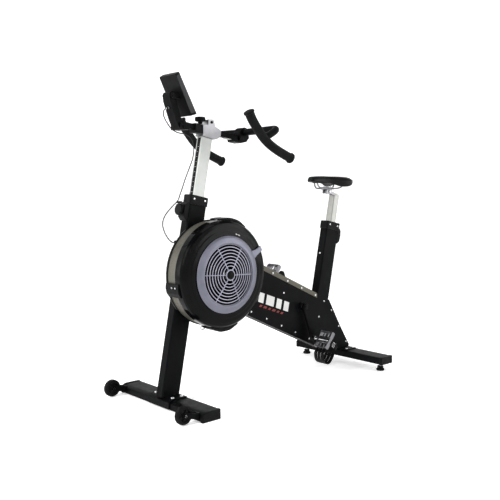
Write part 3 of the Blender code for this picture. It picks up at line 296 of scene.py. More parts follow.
class Finish:
    """Node material under construction."""

    def __init__(self, name, slot):
        self.mat = bpy.data.materials.new(name)
        self.mat.use_nodes = True
        self.tree = self.mat.node_tree
        self.shader = self.tree.nodes["Principled BSDF"]
        self.coord = self.tree.nodes.new("ShaderNodeTexCoord").outputs["Object"]
        MAT[name] = self.mat

    def node(self, kind, **values):
        made = self.tree.nodes.new(kind)
        for key, value in values.items():
            if hasattr(made, key):
                setattr(made, key, value)
            else:
                made.inputs[key.replace("_", " ")].default_value = value
        return made

    def link(self, a, b):
        self.tree.links.new(a, b)

    def noise(self, scale, detail=4.0, stretch=(1, 1, 1), rough=0.55):
        m = self.node("ShaderNodeMapping")
        m.inputs["Scale"].default_value = stretch
        self.link(self.coord, m.inputs["Vector"])
        t = self.node("ShaderNodeTexNoise", Scale=scale, Detail=detail, Roughness=rough)
        self.link(m.outputs[0], t.inputs["Vector"])
        return t.outputs["Fac"]

    def cells(self, scale):
        t = self.node("ShaderNodeTexVoronoi", Scale=scale)
        self.link(self.coord, t.inputs["Vector"])
        return t.outputs["Distance"]

    def ramp(self, fac, low, high, a=0.3, b=0.7):
        r = self.node("ShaderNodeValToRGB")
        r.color_ramp.elements[0].position = a
        r.color_ramp.elements[1].position = b
        r.color_ramp.elements[0].color = (*low, 1)
        r.color_ramp.elements[1].color = (*high, 1)
        self.link(fac, r.inputs[0])
        return r.outputs[0]

    def span(self, fac, low, high, a=0.3, b=0.7):
        r = self.node("ShaderNodeMapRange")
        for i, value in enumerate((a, b, low, high), 1):
            r.inputs[i].default_value = value
        self.link(fac, r.inputs[0])
        return r.outputs[0]

    def math(self, op, a, b):
        m = self.node("ShaderNodeMath", operation=op)
        self.link(a, m.inputs[0])
        if isinstance(b, float):
            m.inputs[1].default_value = b
        else:
            self.link(b, m.inputs[1])
        return m.outputs[0]

    def mix(self, fac, a, b):
        m = self.node("ShaderNodeMix", data_type="RGBA")
        self.link(fac, m.inputs[0])
        self.link(a, m.inputs[6])
        self.link(b, m.inputs[7])
        return m.outputs[2]

    def bumps(self, *layers):
        """layers: (height, strength, distance)."""
        last = None
        for height, strength, distance in layers:
            b = self.node("ShaderNodeBump", Strength=strength, Distance=distance)
            self.link(height, b.inputs["Height"])
            if last is not None:
                self.link(last, b.inputs["Normal"])
            last = b.outputs[0]
        self.link(last, self.shader.inputs["Normal"])

    def put(self, colour, rough, **values):
        self.link(colour, self.shader.inputs["Base Color"])
        self.link(rough, self.shader.inputs["Roughness"])
        for key, value in values.items():
            self.shader.inputs[key.replace("_", " ")].default_value = value


def paint(name, slot, low, high, rough, peel=0.15, grain=900.0, **values):
    """Sprayed or powder-coated finish: cloudy tone, orange peel, faint rubbed streaks."""
    f = Finish(name, slot)
    cloud = f.noise(9.0, 5.0)
    rub = f.noise(26.0, 6.0, (1, 1, 0.25), 0.7)
    f.put(f.ramp(cloud, low, high), f.span(rub, rough[0], rough[1]), **values)
    f.bumps((f.noise(grain, 3.0), peel, 0.0002), (f.noise(60.0, 2.0), 0.06, 0.0006))


def metal(name, slot, low, high, rough, stretch=(1, 1, 1), grain=700.0, strength=0.12, **values):
    """Bare metal: tarnish clouds, and a grain that stretch draws out into brush lines."""
    f = Finish(name, slot)
    streak = f.noise(grain, 4.0, stretch, 0.7)
    tarnish = f.noise(14.0, 5.0)
    f.put(f.mix(f.span(streak, 0.0, 0.35), f.ramp(tarnish, low, high), f.ramp(streak, low, high)),
          f.span(tarnish, rough[0], rough[1]), Metallic=1.0, **values)
    f.bumps((streak, strength, 0.0002))


def moulded(name, slot, low, high, rough, grain=1500.0, strength=0.25, **values):
    """Moulded plastic or rubber with a fine pebbled skin."""
    f = Finish(name, slot)
    cloud = f.noise(16.0, 4.0)
    f.put(f.ramp(cloud, low, high), f.span(f.noise(40.0, 5.0), rough[0], rough[1]), **values)
    f.bumps((f.cells(grain), strength, 0.0002), (f.noise(grain * 0.6, 2.0), 0.1, 0.0002))


def band_finish():
    """Perforated olive-grey sheet round the fan: rows of small holes."""
    f = Finish("band_mesh", "mesh_metal")
    split = f.node("ShaderNodeSeparateXYZ")
    f.link(f.coord, split.inputs[0])
    dx = f.math("ADD", split.outputs["X"], -FAN_X)
    dz = f.math("ADD", split.outputs["Z"], -FAN_Z)
    turn = f.math("MULTIPLY", f.math("ARCTAN2", dz, dx), 0.23)
    join = f.node("ShaderNodeCombineXYZ")
    f.link(turn, join.inputs[0])
    f.link(split.outputs["Y"], join.inputs[1])
    dots = f.node("ShaderNodeTexVoronoi", Scale=420.0, Randomness=0.12)
    f.link(join.outputs[0], dots.inputs["Vector"])
    hole = f.span(dots.outputs["Distance"], 0.0, 1.0, 0.22, 0.34)
    cloud = f.noise(8.0, 4.0)
    f.put(f.mix(hole, f.ramp(cloud, (0.045, 0.042, 0.034), (0.075, 0.07, 0.056)),
                f.ramp(cloud, (0.12, 0.116, 0.096), (0.165, 0.16, 0.134))),
          f.span(cloud, 0.42, 0.55), Metallic=0.35)
    f.bumps((hole, 0.5, 0.0006))


def vinyl_finish():
    """Pebbled saddle vinyl."""
    f = Finish("vinyl", "saddle_vinyl")
    cloud = f.noise(22.0, 4.0)
    pebbles = f.cells(900.0)
    f.put(f.ramp(cloud, (0.005, 0.005, 0.0054), (0.011, 0.011, 0.0115)),
          f.span(pebbles, 0.26, 0.38, 0.1, 0.7), Sheen_Weight=0.015, Sheen_Roughness=0.4,
          Specular_IOR_Level=0.2)
    f.bumps((pebbles, 0.3, 0.0004), (f.noise(45.0, 5.0), 0.18, 0.0012))


def foam_finish():
    """Open-pored grip foam."""
    f = Finish("foam", "grip_foam")
    pores = f.cells(1300.0)
    f.put(f.ramp(f.noise(30.0, 5.0), (0.006, 0.006, 0.0064), (0.0125, 0.0125, 0.013)),
          f.span(pores, 0.55, 0.75, 0.1, 0.7), Sheen_Weight=0.015, Specular_IOR_Level=0.12)
    f.bumps((pores, 0.55, 0.0005), (f.noise(70.0, 4.0), 0.15, 0.001))


def screen_finish():
    """Dark glass over a grey liquid-crystal face with faint segment rows."""
    f = Finish("lcd", "screen")
    rows = f.node("ShaderNodeTexBrick", Scale=55.0, Mortar_Size=0.03)
    f.link(f.coord, rows.inputs["Vector"])
    f.put(f.mix(f.span(rows.outputs["Fac"], 0.0, 0.6, 0.0, 1.0),
                f.ramp(f.noise(20.0, 3.0), (0.03, 0.036, 0.032), (0.05, 0.06, 0.052)),
                f.ramp(f.noise(300.0, 2.0), (0.012, 0.014, 0.013), (0.022, 0.024, 0.023))),
          f.span(f.noise(30.0, 5.0), 0.06, 0.16), Coat_Weight=0.6)
    f.bumps((f.noise(12.0, 2.0), 0.03, 0.0004))


def finishes():
    paint("satin", "black_paint", (0.003, 0.0033, 0.0038), (0.0062, 0.0066, 0.0074),
          (0.33, 0.45), 0.22, 1100.0, Specular_IOR_Level=0.07)
    paint("gloss", "gloss_black_paint", (0.0016, 0.0018, 0.0022), (0.0036, 0.0038, 0.0044),
          (0.1, 0.16), 0.04, 260.0, Specular_IOR_Level=0.13)
    paint("olive", "olive_paint", (0.078, 0.074, 0.052), (0.112, 0.106, 0.078), (0.42, 0.56))
    paint("silver", "silver_paint", (0.145, 0.147, 0.185), (0.19, 0.192, 0.235), (0.28, 0.38),
          0.1, 1400.0, Metallic=0.45)
    paint("guard", "silver_paint", (0.27, 0.27, 0.33), (0.34, 0.34, 0.4), (0.28, 0.38),
          0.1, 1400.0, Metallic=0.45)
    paint("white_print", "silver_paint", (0.56, 0.56, 0.55), (0.68, 0.68, 0.67), (0.4, 0.55))
    paint("red_print", "black_paint", (0.15, 0.012, 0.01), (0.23, 0.022, 0.018), (0.42, 0.56))
    metal("brushed", "alloy", (0.44, 0.45, 0.435), (0.56, 0.57, 0.555), (0.5, 0.62),
          (1, 1, 0.03), 900.0, 0.1, Anisotropic=0.35)
    metal("brushed_grey", "alloy", (0.27, 0.27, 0.255), (0.36, 0.36, 0.345), (0.3, 0.42),
          (1, 1, 0.03), 900.0, 0.1, Anisotropic=0.35)
    metal("cast", "cast_alloy", (0.25, 0.25, 0.26), (0.35, 0.35, 0.36), (0.3, 0.46),
          (1, 1, 1), 420.0, 0.3)
    metal("dark_cast", "cast_alloy", (0.15, 0.15, 0.16), (0.26, 0.26, 0.27), (0.24, 0.4),
          (1, 1, 1), 420.0, 0.3)
    metal("steel", "steel", (0.5, 0.5, 0.51), (0.78, 0.78, 0.79), (0.18, 0.34),
          (1, 1, 0.1), 1200.0, 0.12)
    moulded("plastic", "black_plastic", (0.0036, 0.0038, 0.0042), (0.0074, 0.0077, 0.0083),
            (0.34, 0.48), Specular_IOR_Level=0.12)
    moulded("grey_plastic", "black_plastic", (0.02, 0.02, 0.022), (0.032, 0.032, 0.035),
            (0.36, 0.5), Specular_IOR_Level=0.35)
    moulded("rubber", "rubber", (0.005, 0.005, 0.0052), (0.011, 0.011, 0.011),
            (0.55, 0.78), 700.0, 0.35, Specular_IOR_Level=0.14)
    moulded("cable", "rubber", (0.012, 0.012, 0.013), (0.026, 0.026, 0.028), (0.34, 0.48), 900.0,
            Specular_IOR_Level=0.3)
    band_finish()
    vinyl_finish()
    foam_finish()
    screen_finish()


# ---- pieces ----

def piece(name, bm, style, body, stands_for=(), bevel=0.0, subdiv=0):
    """Turns bm into an object with a finish, riding on body."""
    bmesh.ops.remove_doubles(bm, verts=bm.verts, dist=1e-6)
    bmesh.ops.recalc_face_normals(bm, faces=bm.faces)
    mesh = bpy.data.meshes.new(name)
    bm.to_mesh(mesh)
    bm.free()
    mesh.polygons.foreach_set("use_smooth", [True] * len(mesh.polygons))
    if not bevel:
        mesh.set_sharp_from_angle(angle=SMOOTH_ANGLE)
    obj = place(name, mesh)
    mesh.materials.append(MAT[style])
    if bevel:
        soften(obj, bevel)
    if subdiv:
        m = obj.modifiers.new("subdivide", "SUBSURF")
        m.levels = m.render_levels = subdiv
    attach(obj, body)
    if stands_for:
        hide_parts(*stands_for)
    return obj


def soften(obj, width, angle=28.0):
    """Rounds a shape's hard edges and shades across them."""
    b = obj.modifiers.new("round", "BEVEL")
    b.width = width
    b.segments = 3
    b.limit_method = "ANGLE"
    b.angle_limit = math.radians(angle)
    b.use_clamp_overlap = True
    b.miter_outer = "MITER_ARC"
    n = obj.modifiers.new("shade", "WEIGHTED_NORMAL")
    n.keep_sharp = False
    n.weight = 90


# finish, width of the rounded edges, and the CAD nodes that have them
CAD_LOOK = (
    ("satin", 0.0022, "front_base_bar rear_base_bar"),
    ("plastic", 0.002, "front_cap_left front_cap_right rear_cap_left rear_cap_right"),
    ("satin", 0.0012, "front_post seat_tube"),
    ("satin", 0.0008, "frame_plate_left frame_plate_right"), ("olive", 0.0008, "top_cap"),
    ("satin", 0.0006, "lower_cover"), ("plastic", 0.0016, "front_collar seat_collar"),
    ("rubber", 0.0003, "belt_first belt_second"), ("plastic", 0.001, "fan_sensor"),
    ("brushed", 0.0008, "front_mast"), ("cast", 0.002, "head_casting"),
    ("plastic", 0.0012, "rail_guide"), ("satin", 0.0014, "reach_rail"),
    ("satin", 0.0016, "rail_clevis bar_bracket console_arm"), ("plastic", 0.0022, "console_shell"),
    ("lcd", 0.0004, "console_screen"), ("plastic", 0.0004, "fan_wheel"),
    ("steel", 0.0004, "fan_shaft"), ("cast", 0.0005, "jackshaft"), ("cast", 0.0006, "crank_axle"),
    ("satin", 0.002, "crank_arm_left crank_arm_right"), ("brushed_grey", 0.0008, "seat_mast"),
    ("cast", 0.0014, "seat_head"), ("cast", 0.0008, "saddle_clamp"),
    ("steel", 0.0005, "saddle_base"),
)


def dress_cad():
    """Finishes and rounded edges for the CAD nodes that are shown as they are."""
    for style, width, names in CAD_LOOK:
        for name in names.split():
            obj = CAD[name]
            faces = obj.data.polygons
            obj.data.materials.clear()
            obj.data.materials.append(MAT[style])
            faces.foreach_set("material_index", [0] * len(faces))
            faces.foreach_set("use_smooth", [True] * len(faces))
            w = obj.modifiers.new("weld", "WELD")
            w.merge_threshold = 0.00002
            soften(obj, width)


# ---- fan: heights are measured from the middle plane towards the rider's left ----

FAN_X = -0.322
FAN_Z = 0.568
FAN = (FAN_X, 0.0, FAN_Z)
OUT = (0.0, -1.0, 0.0)


def dome(r):
    """Bulge of the grille at radius r."""
    return 0.0105 * (1.0 - (r / 0.13) ** 2)


def fan_at(r, degrees, h):
    """Point at a radius and an angle about the fan's axis."""
    a = math.radians(degrees)
    return Vector((FAN_X + r * math.cos(a), -h, FAN_Z + r * math.sin(a)))


def beside(r, q, h, c, s):
    """Point at radius r on the ray (c, s) from the fan's axis, q to the ray's side."""
    return (FAN_X + r * c - q * s, -h, FAN_Z + r * s + q * c)


def turned(name, profile, style, body, stands_for=(), n=160, origin=FAN, axis=OUT, wrap=True,
           knurl=0.0, teeth=24):
    """A turned shape as a piece of its own."""
    bm = bmesh.new()
    lathe(bm, origin, axis, profile, n, wrap, knurl, teeth)
    return piece(name, bm, style, body, stands_for)


def fan_housing():
    turned("fan_back_shell", fillet([(0.023, 0.0278), (0.06, 0.0278), (0.064, 0.0385),
                                     (0.235, 0.0385), (0.235, 0.048), (0.2325, 0.048),
                                     (0.2325, 0.0405), (0.023, 0.0405)], 0.0014),
           "gloss", "frame", ("fan_back_cover",))
    turned("fan_mesh_band", rect(0.2288, 0.2308, 0.0408, 0.112), "band_mesh", "frame",
           ("fan_band",))
    turned("fan_front_shell",
           fillet([(0.2325, 0.1), (0.2355, 0.103), (0.2355, 0.136), (0.2325, 0.1462),
                   (0.224, 0.1548), (0.2095, 0.159), (0.195, 0.16), (0.1905, 0.1612),
                   (0.127, 0.164), (0.127, 0.1612), (0.1905, 0.159), (0.195, 0.157),
                   (0.209, 0.1562), (0.222, 0.1518), (0.2325, 0.138)], 0.008, 6),
           "gloss", "frame", ("fan_cover",), 192)
    for h in (0.0425, 0.1095):
        turned("band_hem_%03d" % round(h * 1000),
               fillet(rect(0.2306, 0.2322, h - 0.0022, h + 0.0022), 0.0006), "satin", "frame")
    marks = bmesh.new()
    for a0, a1 in ((66.0, 69.5), (71.0, 74.5)):
        loops = []
        for i in range(5):
            a = a0 + (a1 - a0) * i / 4
            loops.append([fan_at(r, a, h) for r, h in ((0.1795, 0.1619), (0.1835, 0.1617),
                                                       (0.1835, 0.1609), (0.1795, 0.1611))])
        skin(marks, loops)
    piece("fan_scale_marks", marks, "white_print", "frame")


def fan_clips():
    for name, r1, h0, h1, a0, a1, stands in (
            ("top", 0.248, 0.054, 0.136, 57.0, 92.0, ("band_clip_top",)),
            ("left", 0.245, 0.042, 0.13, 186.0, 201.0, ("band_clip_left",)),
            ("low", 0.253, 0.06, 0.138, 254.0, 290.0, ())):
        bm = bmesh.new()
        arc_block(bm, FAN, 0.2359, r1, h0, h1, a0, a1)
        piece("rim_clip_" + name, bm, "plastic", "frame", stands, 0.0022)
    bm = bmesh.new()
    for r, a, h, size, rise in ((0.2444, 190.0, 0.088, 0.0042, 0.0026),
                                (0.2444, 190.0, 0.112, 0.0042, 0.0026),
                                (0.2474, 63.0, 0.096, 0.004, 0.0024),
                                (0.2474, 86.0, 0.096, 0.004, 0.0024)):
        cap_screw(bm, fan_at(r, a, h), fan_at(1, a, 0) - fan_at(0, a, 0), size, rise)
    piece("rim_clip_screws", bm, "steel", "frame")
    bm = bmesh.new()
    hook = [fan_at(0.244, 256.0, 0.076), fan_at(0.25, 255.0, 0.078), fan_at(0.2535, 252.5, 0.082),
            fan_at(0.252, 249.5, 0.086), fan_at(0.247, 248.5, 0.088)]
    tube(bm, catmull(hook, 0.0015), 0.0021, 12)
    piece("rim_hook", bm, "steel", "frame")


DAMPER_LEVER_AT = math.radians(28.0)


def damper():
    """Dial ring and its lever, which grows out of the ring at one angle."""
    bm = bmesh.new()
    lathe(bm, FAN, OUT, fillet([(0.1345, 0.1646), (0.169, 0.1646), (0.169, 0.1672), (0.16, 0.1722),
                                (0.147, 0.1758), (0.1345, 0.1768)], 0.0035, 5), 192)
    lever = []
    c, s = math.cos(DAMPER_LEVER_AT), math.sin(DAMPER_LEVER_AT)
    rows = [(0.1646, 0.1692, 0.166, 0.019), (0.1648, 0.1693, 0.174, 0.018),
            (0.1648, 0.1692, 0.186, 0.0145), (0.1644, 0.169, 0.2, 0.0128),
            (0.1636, 0.1682, 0.211, 0.012), (0.1612, 0.166, 0.224, 0.0112)]
    for h0, h1, r, w in rows:
        lever.append([beside(r, q, h, c, s)
                      for q, h in ((-w, h0), (w, h0), (w, h1 - 0.0012), (w - 0.0014, h1),
                                   (-w + 0.0014, h1), (-w, h1 - 0.0012))])
    skin(bm, lever)
    piece("damper_dial", bm, "silver", "damper", ("damper_ring",))


HOOPS = 7
HOOP_FIRST = 0.0394
HOOP_PITCH = 0.01363
HOOP_HALF = 0.0023
SPOKES = 6
SPOKE_TURN = -2.9
SPOKE_FROM = 0.0235
SPOKE_TO = 0.1325


def grille():
    """Outer rim, fine hoops, hub ring and spokes, with the button over the hub."""
    bm = bmesh.new()
    lathe(bm, FAN, OUT, fillet(rect(0.1316, 0.1338, 0.1643, 0.1735), 0.0008, 3), 144)
    for k in range(HOOPS):
        r = HOOP_FIRST + HOOP_PITCH * k
        hoop = rect(r - HOOP_HALF, r + HOOP_HALF, 0.1705 + dome(r), 0.1735 + dome(r))
        lathe(bm, FAN, OUT, fillet(hoop, 0.001, 3), 112)
    lathe(bm, FAN, OUT, fillet(rect(0.019, 0.025, 0.174, 0.186), 0.0014, 3), 64)
    for k in range(SPOKES):
        a = math.radians(360.0 * k / SPOKES + SPOKE_TURN)
        c, s = math.cos(a), math.sin(a)
        loops = []
        for i in range(13):
            r = SPOKE_FROM + (SPOKE_TO - SPOKE_FROM) * i / 12
            loops.append([beside(r, q, h + dome(r), c, s)
                          for q, h in ((-0.002, 0.169), (0.002, 0.169), (0.0022, 0.1725),
                                       (0.0012, 0.1742), (-0.0012, 0.1742), (-0.0022, 0.1725))])
        skin(bm, loops)
    piece("inlet_guard", bm, "guard", "frame", ("grille",))
    turned("hub_button", fillet([(0.0, 0.1745), (0.0184, 0.1745), (0.0184, 0.1885), (0.015, 0.1918),
                                 (0.008, 0.193), (0.0, 0.193)], 0.0016, 4, False), "plastic",
           "frame", ("hub_cap",), 64, wrap=False)


# ---- floor parts ----

FOOT_X = 0.634
FOOT_Y = 0.262
THREAD_TURNS = 13
THREAD_PITCH = 0.00126
WHEEL_X = -0.642
WHEEL_Y = 0.268
WHEEL_Z = 0.041
WHEEL_RIBS = 6


def feet():
    """Levelling feet: a rubber pad, a hexagonal nut and a threaded stem."""
    pad = fillet([(0.0, 0.0), (0.0195, 0.0), (0.0205, 0.003), (0.0205, 0.0075),
                  (0.018, 0.0115), (0.012, 0.013), (0.0, 0.013)], 0.0012, 3, False)
    nut = [(0.0, 0.0128), (0.014, 0.0128), (0.0155, 0.0142), (0.0155, 0.0225), (0.014, 0.024),
           (0.0, 0.024)]
    stem = [(0.0, 0.0236)]
    for k in range(THREAD_TURNS):
        stem += [(0.0055, 0.0238 + THREAD_PITCH * k), (0.0048, 0.0238 + THREAD_PITCH * (k + 0.5))]
    stem.append((0.0, 0.0404))
    for side, name in SIDES:
        body = "foot_" + name
        at = ((FOOT_X, side * FOOT_Y, 0.0), (0, 0, 1), False)
        turned("foot_pad_" + name, pad, "rubber", body, ("levelling_foot_" + name,), 48, *at)
        turned("foot_nut_" + name, nut, "plastic", body, (), 6, *at)
        turned("foot_stem_" + name, stem, "steel", body, (), 24, *at)


def wheel_ribs(name, c):
    """Short ribs on both faces of a wheel, from its hub to its rim."""
    bm = bmesh.new()
    for k in range(WHEEL_RIBS):
        a = math.tau * k / WHEEL_RIBS + 0.2
        d = Vector((math.cos(a), 0, math.sin(a)))
        q = Vector((-math.sin(a), 0, math.cos(a))) * 0.0017
        for y0, y1 in ((-0.0092, -0.005), (0.005, 0.0092)):
            skin(bm, [[Vector(c) + d * r + q * s + Vector((0, y, 0))
                       for r, s in rect(0.01, 0.0256, -1, 1)] for y in (y0, y1)])
    piece("wheel_ribs_" + name, bm, "plastic", "wheel_" + name, (), 0.0006)


def wheels():
    """Transport wheels: tyre, rim, ribs and the axle's heads."""
    tyre = fillet(mirrored([(0.027, -0.01), (0.034, -0.0105), (0.0372, -0.0085), (0.038, -0.003)]),
                  0.002, 4)
    rim = fillet(mirrored([(0.0052, -0.0102), (0.01, -0.0102), (0.0115, -0.006),
                           (0.024, -0.0052), (0.0262, -0.0096), (0.0271, -0.0096)]), 0.0012, 3)
    for side, name in SIDES:
        c = (WHEEL_X, side * WHEEL_Y, WHEEL_Z)
        body = "wheel_" + name
        turned("tyre_" + name, tyre, "rubber", body, ("transport_wheel_" + name,), 96, c, (0, 1, 0))
        turned("wheel_rim_" + name, rim, "plastic", body, (), 72, c, (0, 1, 0))
        wheel_ribs(name, c)
        bm = bmesh.new()
        for out in (-1.0, 1.0):
            cap_screw(bm, (c[0], c[1] + out * 0.0154, c[2]), (0, out, 0), 0.0072, 0.0036)
        piece("wheel_axle_heads_" + name, bm, "steel", "frame")


# ---- lock knobs ----

def knobs():
    """The three lock knobs, one grip outline scaled to each."""
    grip = [(0.0, 0.0), (0.4, 0.0), (0.46, 0.3), (0.88, 0.36), (1.0, 0.46), (1.0, 0.86),
            (0.92, 0.97), (0.7, 1.0), (0.0, 1.0)]
    for name, origin, axis, r, length, teeth in (
            ("front_lock_knob", (-0.44371, 0, 0.84821), (-0.982, 0, 0.188), 0.0265, 0.02, 14),
            ("seat_lock_knob", (0.58696, 0, 0.69102), (0.98, 0, -0.199), 0.01, 0.014, 10),
            ("reach_lock_knob", (-0.3375, 0, 1.2233), (0, 0, 1), 0.023, 0.03, 18)):
        profile = fillet([(r * a, length * b) for a, b in grip], r * 0.1, 4, False)
        turned(name.replace("lock", "hand"), profile, "plastic", NODE_BODY[name], (name,), 144,
               origin, axis, False, r * 0.07, teeth)


# ---- handlebar ----

GRIP_LINE = ((-0.262, 1.256), (-0.245, 1.229), (-0.224, 1.203), (-0.199, 1.175), (-0.174, 1.152),
             (-0.144, 1.131), (-0.108, 1.112), (-0.068, 1.095), (-0.02, 1.077))
BAR_LINE = ((-0.176, -0.24, 1.156), (-0.145, -0.244, 1.1735), (-0.115, -0.243, 1.19),
            (-0.097, -0.225, 1.2), (-0.095, -0.18, 1.2005), (-0.095, 0.0, 1.198))


GRIP_Y = 0.24
GRIP_R = 0.0204
GRIP_WAIST = 0.0006
BAR_R = 0.0155


def handlebar():
    """Bent tube with a foam sleeve and two end stops on each side."""
    half = catmull(BAR_LINE, 0.008)
    line = half + [Vector((p.x, -p.y, p.z)) for p in reversed(half[:-1])]
    bm = bmesh.new()
    tube(bm, line, BAR_R, 32)
    piece("bar_tube", bm, "satin", "bar_slide", ("handlebar_tube",))
    for side, name in SIDES:
        line = catmull([(x, side * GRIP_Y, z) for x, z in GRIP_LINE], 0.006)
        bm = bmesh.new()
        n = len(line)
        radii = [GRIP_R - GRIP_WAIST * math.sin(math.pi * i / (n - 1)) for i in range(n)]
        tube(bm, line, radii, 32)
        for tip, inner in ((line[0], line[1]), (line[-1], line[-2])):
            out = (tip - inner).normalized()
            lathe(bm, tip - out * 0.002, out,
                  fillet([(0.0, 0.0), (0.0205, 0.0), (0.0243, 0.004), (0.0236, 0.011),
                          (0.013, 0.0145), (0.0, 0.0145)], 0.0028, 5, False), 40, False)
        piece("grip_sleeve_" + name, bm, "foam", "bar_slide", ("grip_" + name,))
    bm = bmesh.new()
    for y in (-0.015, 0.015):
        cap_screw(bm, (-0.078, y, 1.2122), (0.77, 0, 0.63), 0.0042, 0.0026)
    piece("bracket_screws", bm, "steel", "bar_slide")


# ---- saddle ----

# stations along the saddle: x, half width, top, skirt, crown in the middle, underside
SADDLE = ((0.369, 0.012, 0.993, 0.979, 0.0, 0.98), (0.374, 0.019, 0.9985, 0.9755, 0.0, 0.978),
          (0.385, 0.024, 1.002, 0.9735, 0.0, 0.9745), (0.42, 0.027, 1.005, 0.9715, 0.0, 0.9735),
          (0.46, 0.031, 1.0045, 0.97, 0.001, 0.9735), (0.5, 0.041, 1.003, 0.9665, 0.002, 0.9735),
          (0.54, 0.059, 1.002, 0.954, 0.003, 0.9735), (0.575, 0.073, 1.001, 0.951, 0.003, 0.9735),
          (0.605, 0.078, 0.999, 0.955, 0.003, 0.9735), (0.627, 0.07, 0.996, 0.964, 0.002, 0.9735),
          (0.637, 0.05, 0.992, 0.972, 0.001, 0.9745))
SADDLE_STEPS = 6
SEAM_DROP = 0.0128
STITCH_GAP = 0.0012
STITCH_R = 0.00035
RAIL_LINE = ((0.415, 0.01, 0.97), (0.424, 0.013, 0.952), (0.44, 0.018, 0.943),
             (0.46, 0.021, 0.9423), (0.505, 0.0215, 0.9423), (0.55, 0.022, 0.9423),
             (0.575, 0.027, 0.947), (0.59, 0.032, 0.957), (0.598, 0.035, 0.97))
SHELL = mirrored([(0.395, -0.01), (0.45, -0.013), (0.515, -0.023), (0.56, -0.04),
                  (0.595, -0.047), (0.612, -0.04), (0.618, -0.02)])


def saddle_rows():
    """The saddle's sections, read off a smooth curve through the CAD stations."""
    line = [Vector(s[:3]) for s in SADDLE]
    rest = [Vector(s[3:]) for s in SADDLE]
    last = len(SADDLE) - 1
    out = []
    for i in range(last):
        ids = [max(i - 1, 0), i, i + 1, min(i + 2, last)]
        for k in range(SADDLE_STEPS + (1 if i == last - 1 else 0)):
            t = k / SADDLE_STEPS
            out.append((*spline(*(line[j] for j in ids), t), *spline(*(rest[j] for j in ids), t)))
    return out


def saddle_pad(rows):
    """Padded cover: dished along the middle at the rear, with a groove for the seam."""
    loops = []
    for x, half, top, low, crown, arch in rows:
        wide = max(0.0, min(1.0, (half - 0.03) / 0.04))
        dip = 0.0055 * wide
        outline = [(0.0, top + crown - dip), (0.12, top + crown - dip * 0.72),
                   (0.24, top + crown - dip * 0.18), (0.4, top + crown),
                   (0.58, top + crown - 0.0006), (0.74, top + crown - 0.003),
                   (0.86, top - 0.0062), (0.935, top - 0.0105), (0.955, top - 0.0124),
                   (0.965, top - 0.0134), (0.988, top - 0.015), (0.998, top - 0.0195),
                   (0.99, (top + low) / 2 - 0.005), (0.965, low + 0.004), (0.92, low + 0.0008),
                   (0.86, low), (0.8, low + 0.002), (0.74, min(low + 0.008, arch)), (0.66, arch)]
        right = [(x, half * f, z) for f, z in outline]
        left = [(x, -half * f, z) for f, z in reversed(outline[1:])]
        loops.append(right + [(x, 0.0, arch)] + left)
    bm = bmesh.new()
    skin(bm, loops)
    cover = piece("saddle_pad", bm, "vinyl", "saddle", ("saddle_cover",), subdiv=1)


def saddle_seam(rows):
    """Piping in the groove, and a row of stitches above and below it."""
    welts = [[Vector((x, side * half * 0.968, top - SEAM_DROP)) for x, half, top, *_ in rows] for
             side in (1.0, -1.0)]
    ring = welts[0] + list(reversed(welts[1]))
    bm = bmesh.new()
    tube(bm, ring + [ring[0]], 0.0011, 10)
    for wide, rise in ((0.993, -0.003), (0.945, 0.0036)):
        for side in (-1.0, 1.0):
            line = [Vector((x, side * half * wide, top - SEAM_DROP + rise))
                    for x, half, top, *_ in rows[3:-3]]
            stitches = catmull(line, STITCH_GAP)
            for k in range(0, len(stitches) - 3, 4):
                tube(bm, stitches[k:k + 3], STITCH_R, 6)
    piece("saddle_piping", bm, "plastic", "saddle")


def saddle_underside():
    """Rails, shell and the clamp's screws."""
    bm = bmesh.new()
    for side in (-1.0, 1.0):
        tube(bm, catmull([(x, side * y, z) for x, y, z in RAIL_LINE], 0.004), 0.0035, 20)
    piece("saddle_rails", bm, "dark_cast", "saddle", ("saddle_base",))
    bm = bmesh.new()
    prism(bm, fillet(SHELL, 0.01, 4), "z", 0.9698, 0.9728)
    piece("saddle_shell", bm, "plastic", "saddle", bevel=0.0008)
    bm = bmesh.new()
    for y in (-0.0235, 0.0235):
        cap_screw(bm, (0.503, y, 0.95), (0, 0, 1), 0.0042, 0.003)
    cap_screw(bm, (0.503, -0.0215, 0.926), (0, -1, 0), 0.0062, 0.003)
    piece("saddle_clamp_screws", bm, "steel", "saddle_yoke")


def saddle():
    rows = saddle_rows()
    saddle_pad(rows)
    saddle_seam(rows)
    saddle_underside()


# ---- pedals ----

PEDAL_IN = 0.092
PEDAL_OUT = 0.1715
PEDAL_HANG = math.radians(54.0)
PEDALS = ((-1.0, "left", (0.34285, 0.18155)), (1.0, "right", (0.22315, 0.51045)))
CRANK_X = 0.283
CRANK_Z = 0.346


def hang(bm, centre):
    """Turns pedal work, drawn level, to the angle at which the cage's weight holds it."""
    bmesh.ops.rotate(bm, verts=bm.verts, cent=(centre[0], 0.0, centre[1]),
                     matrix=Matrix.Rotation(-PEDAL_HANG, 3, "Y"))
    return bm


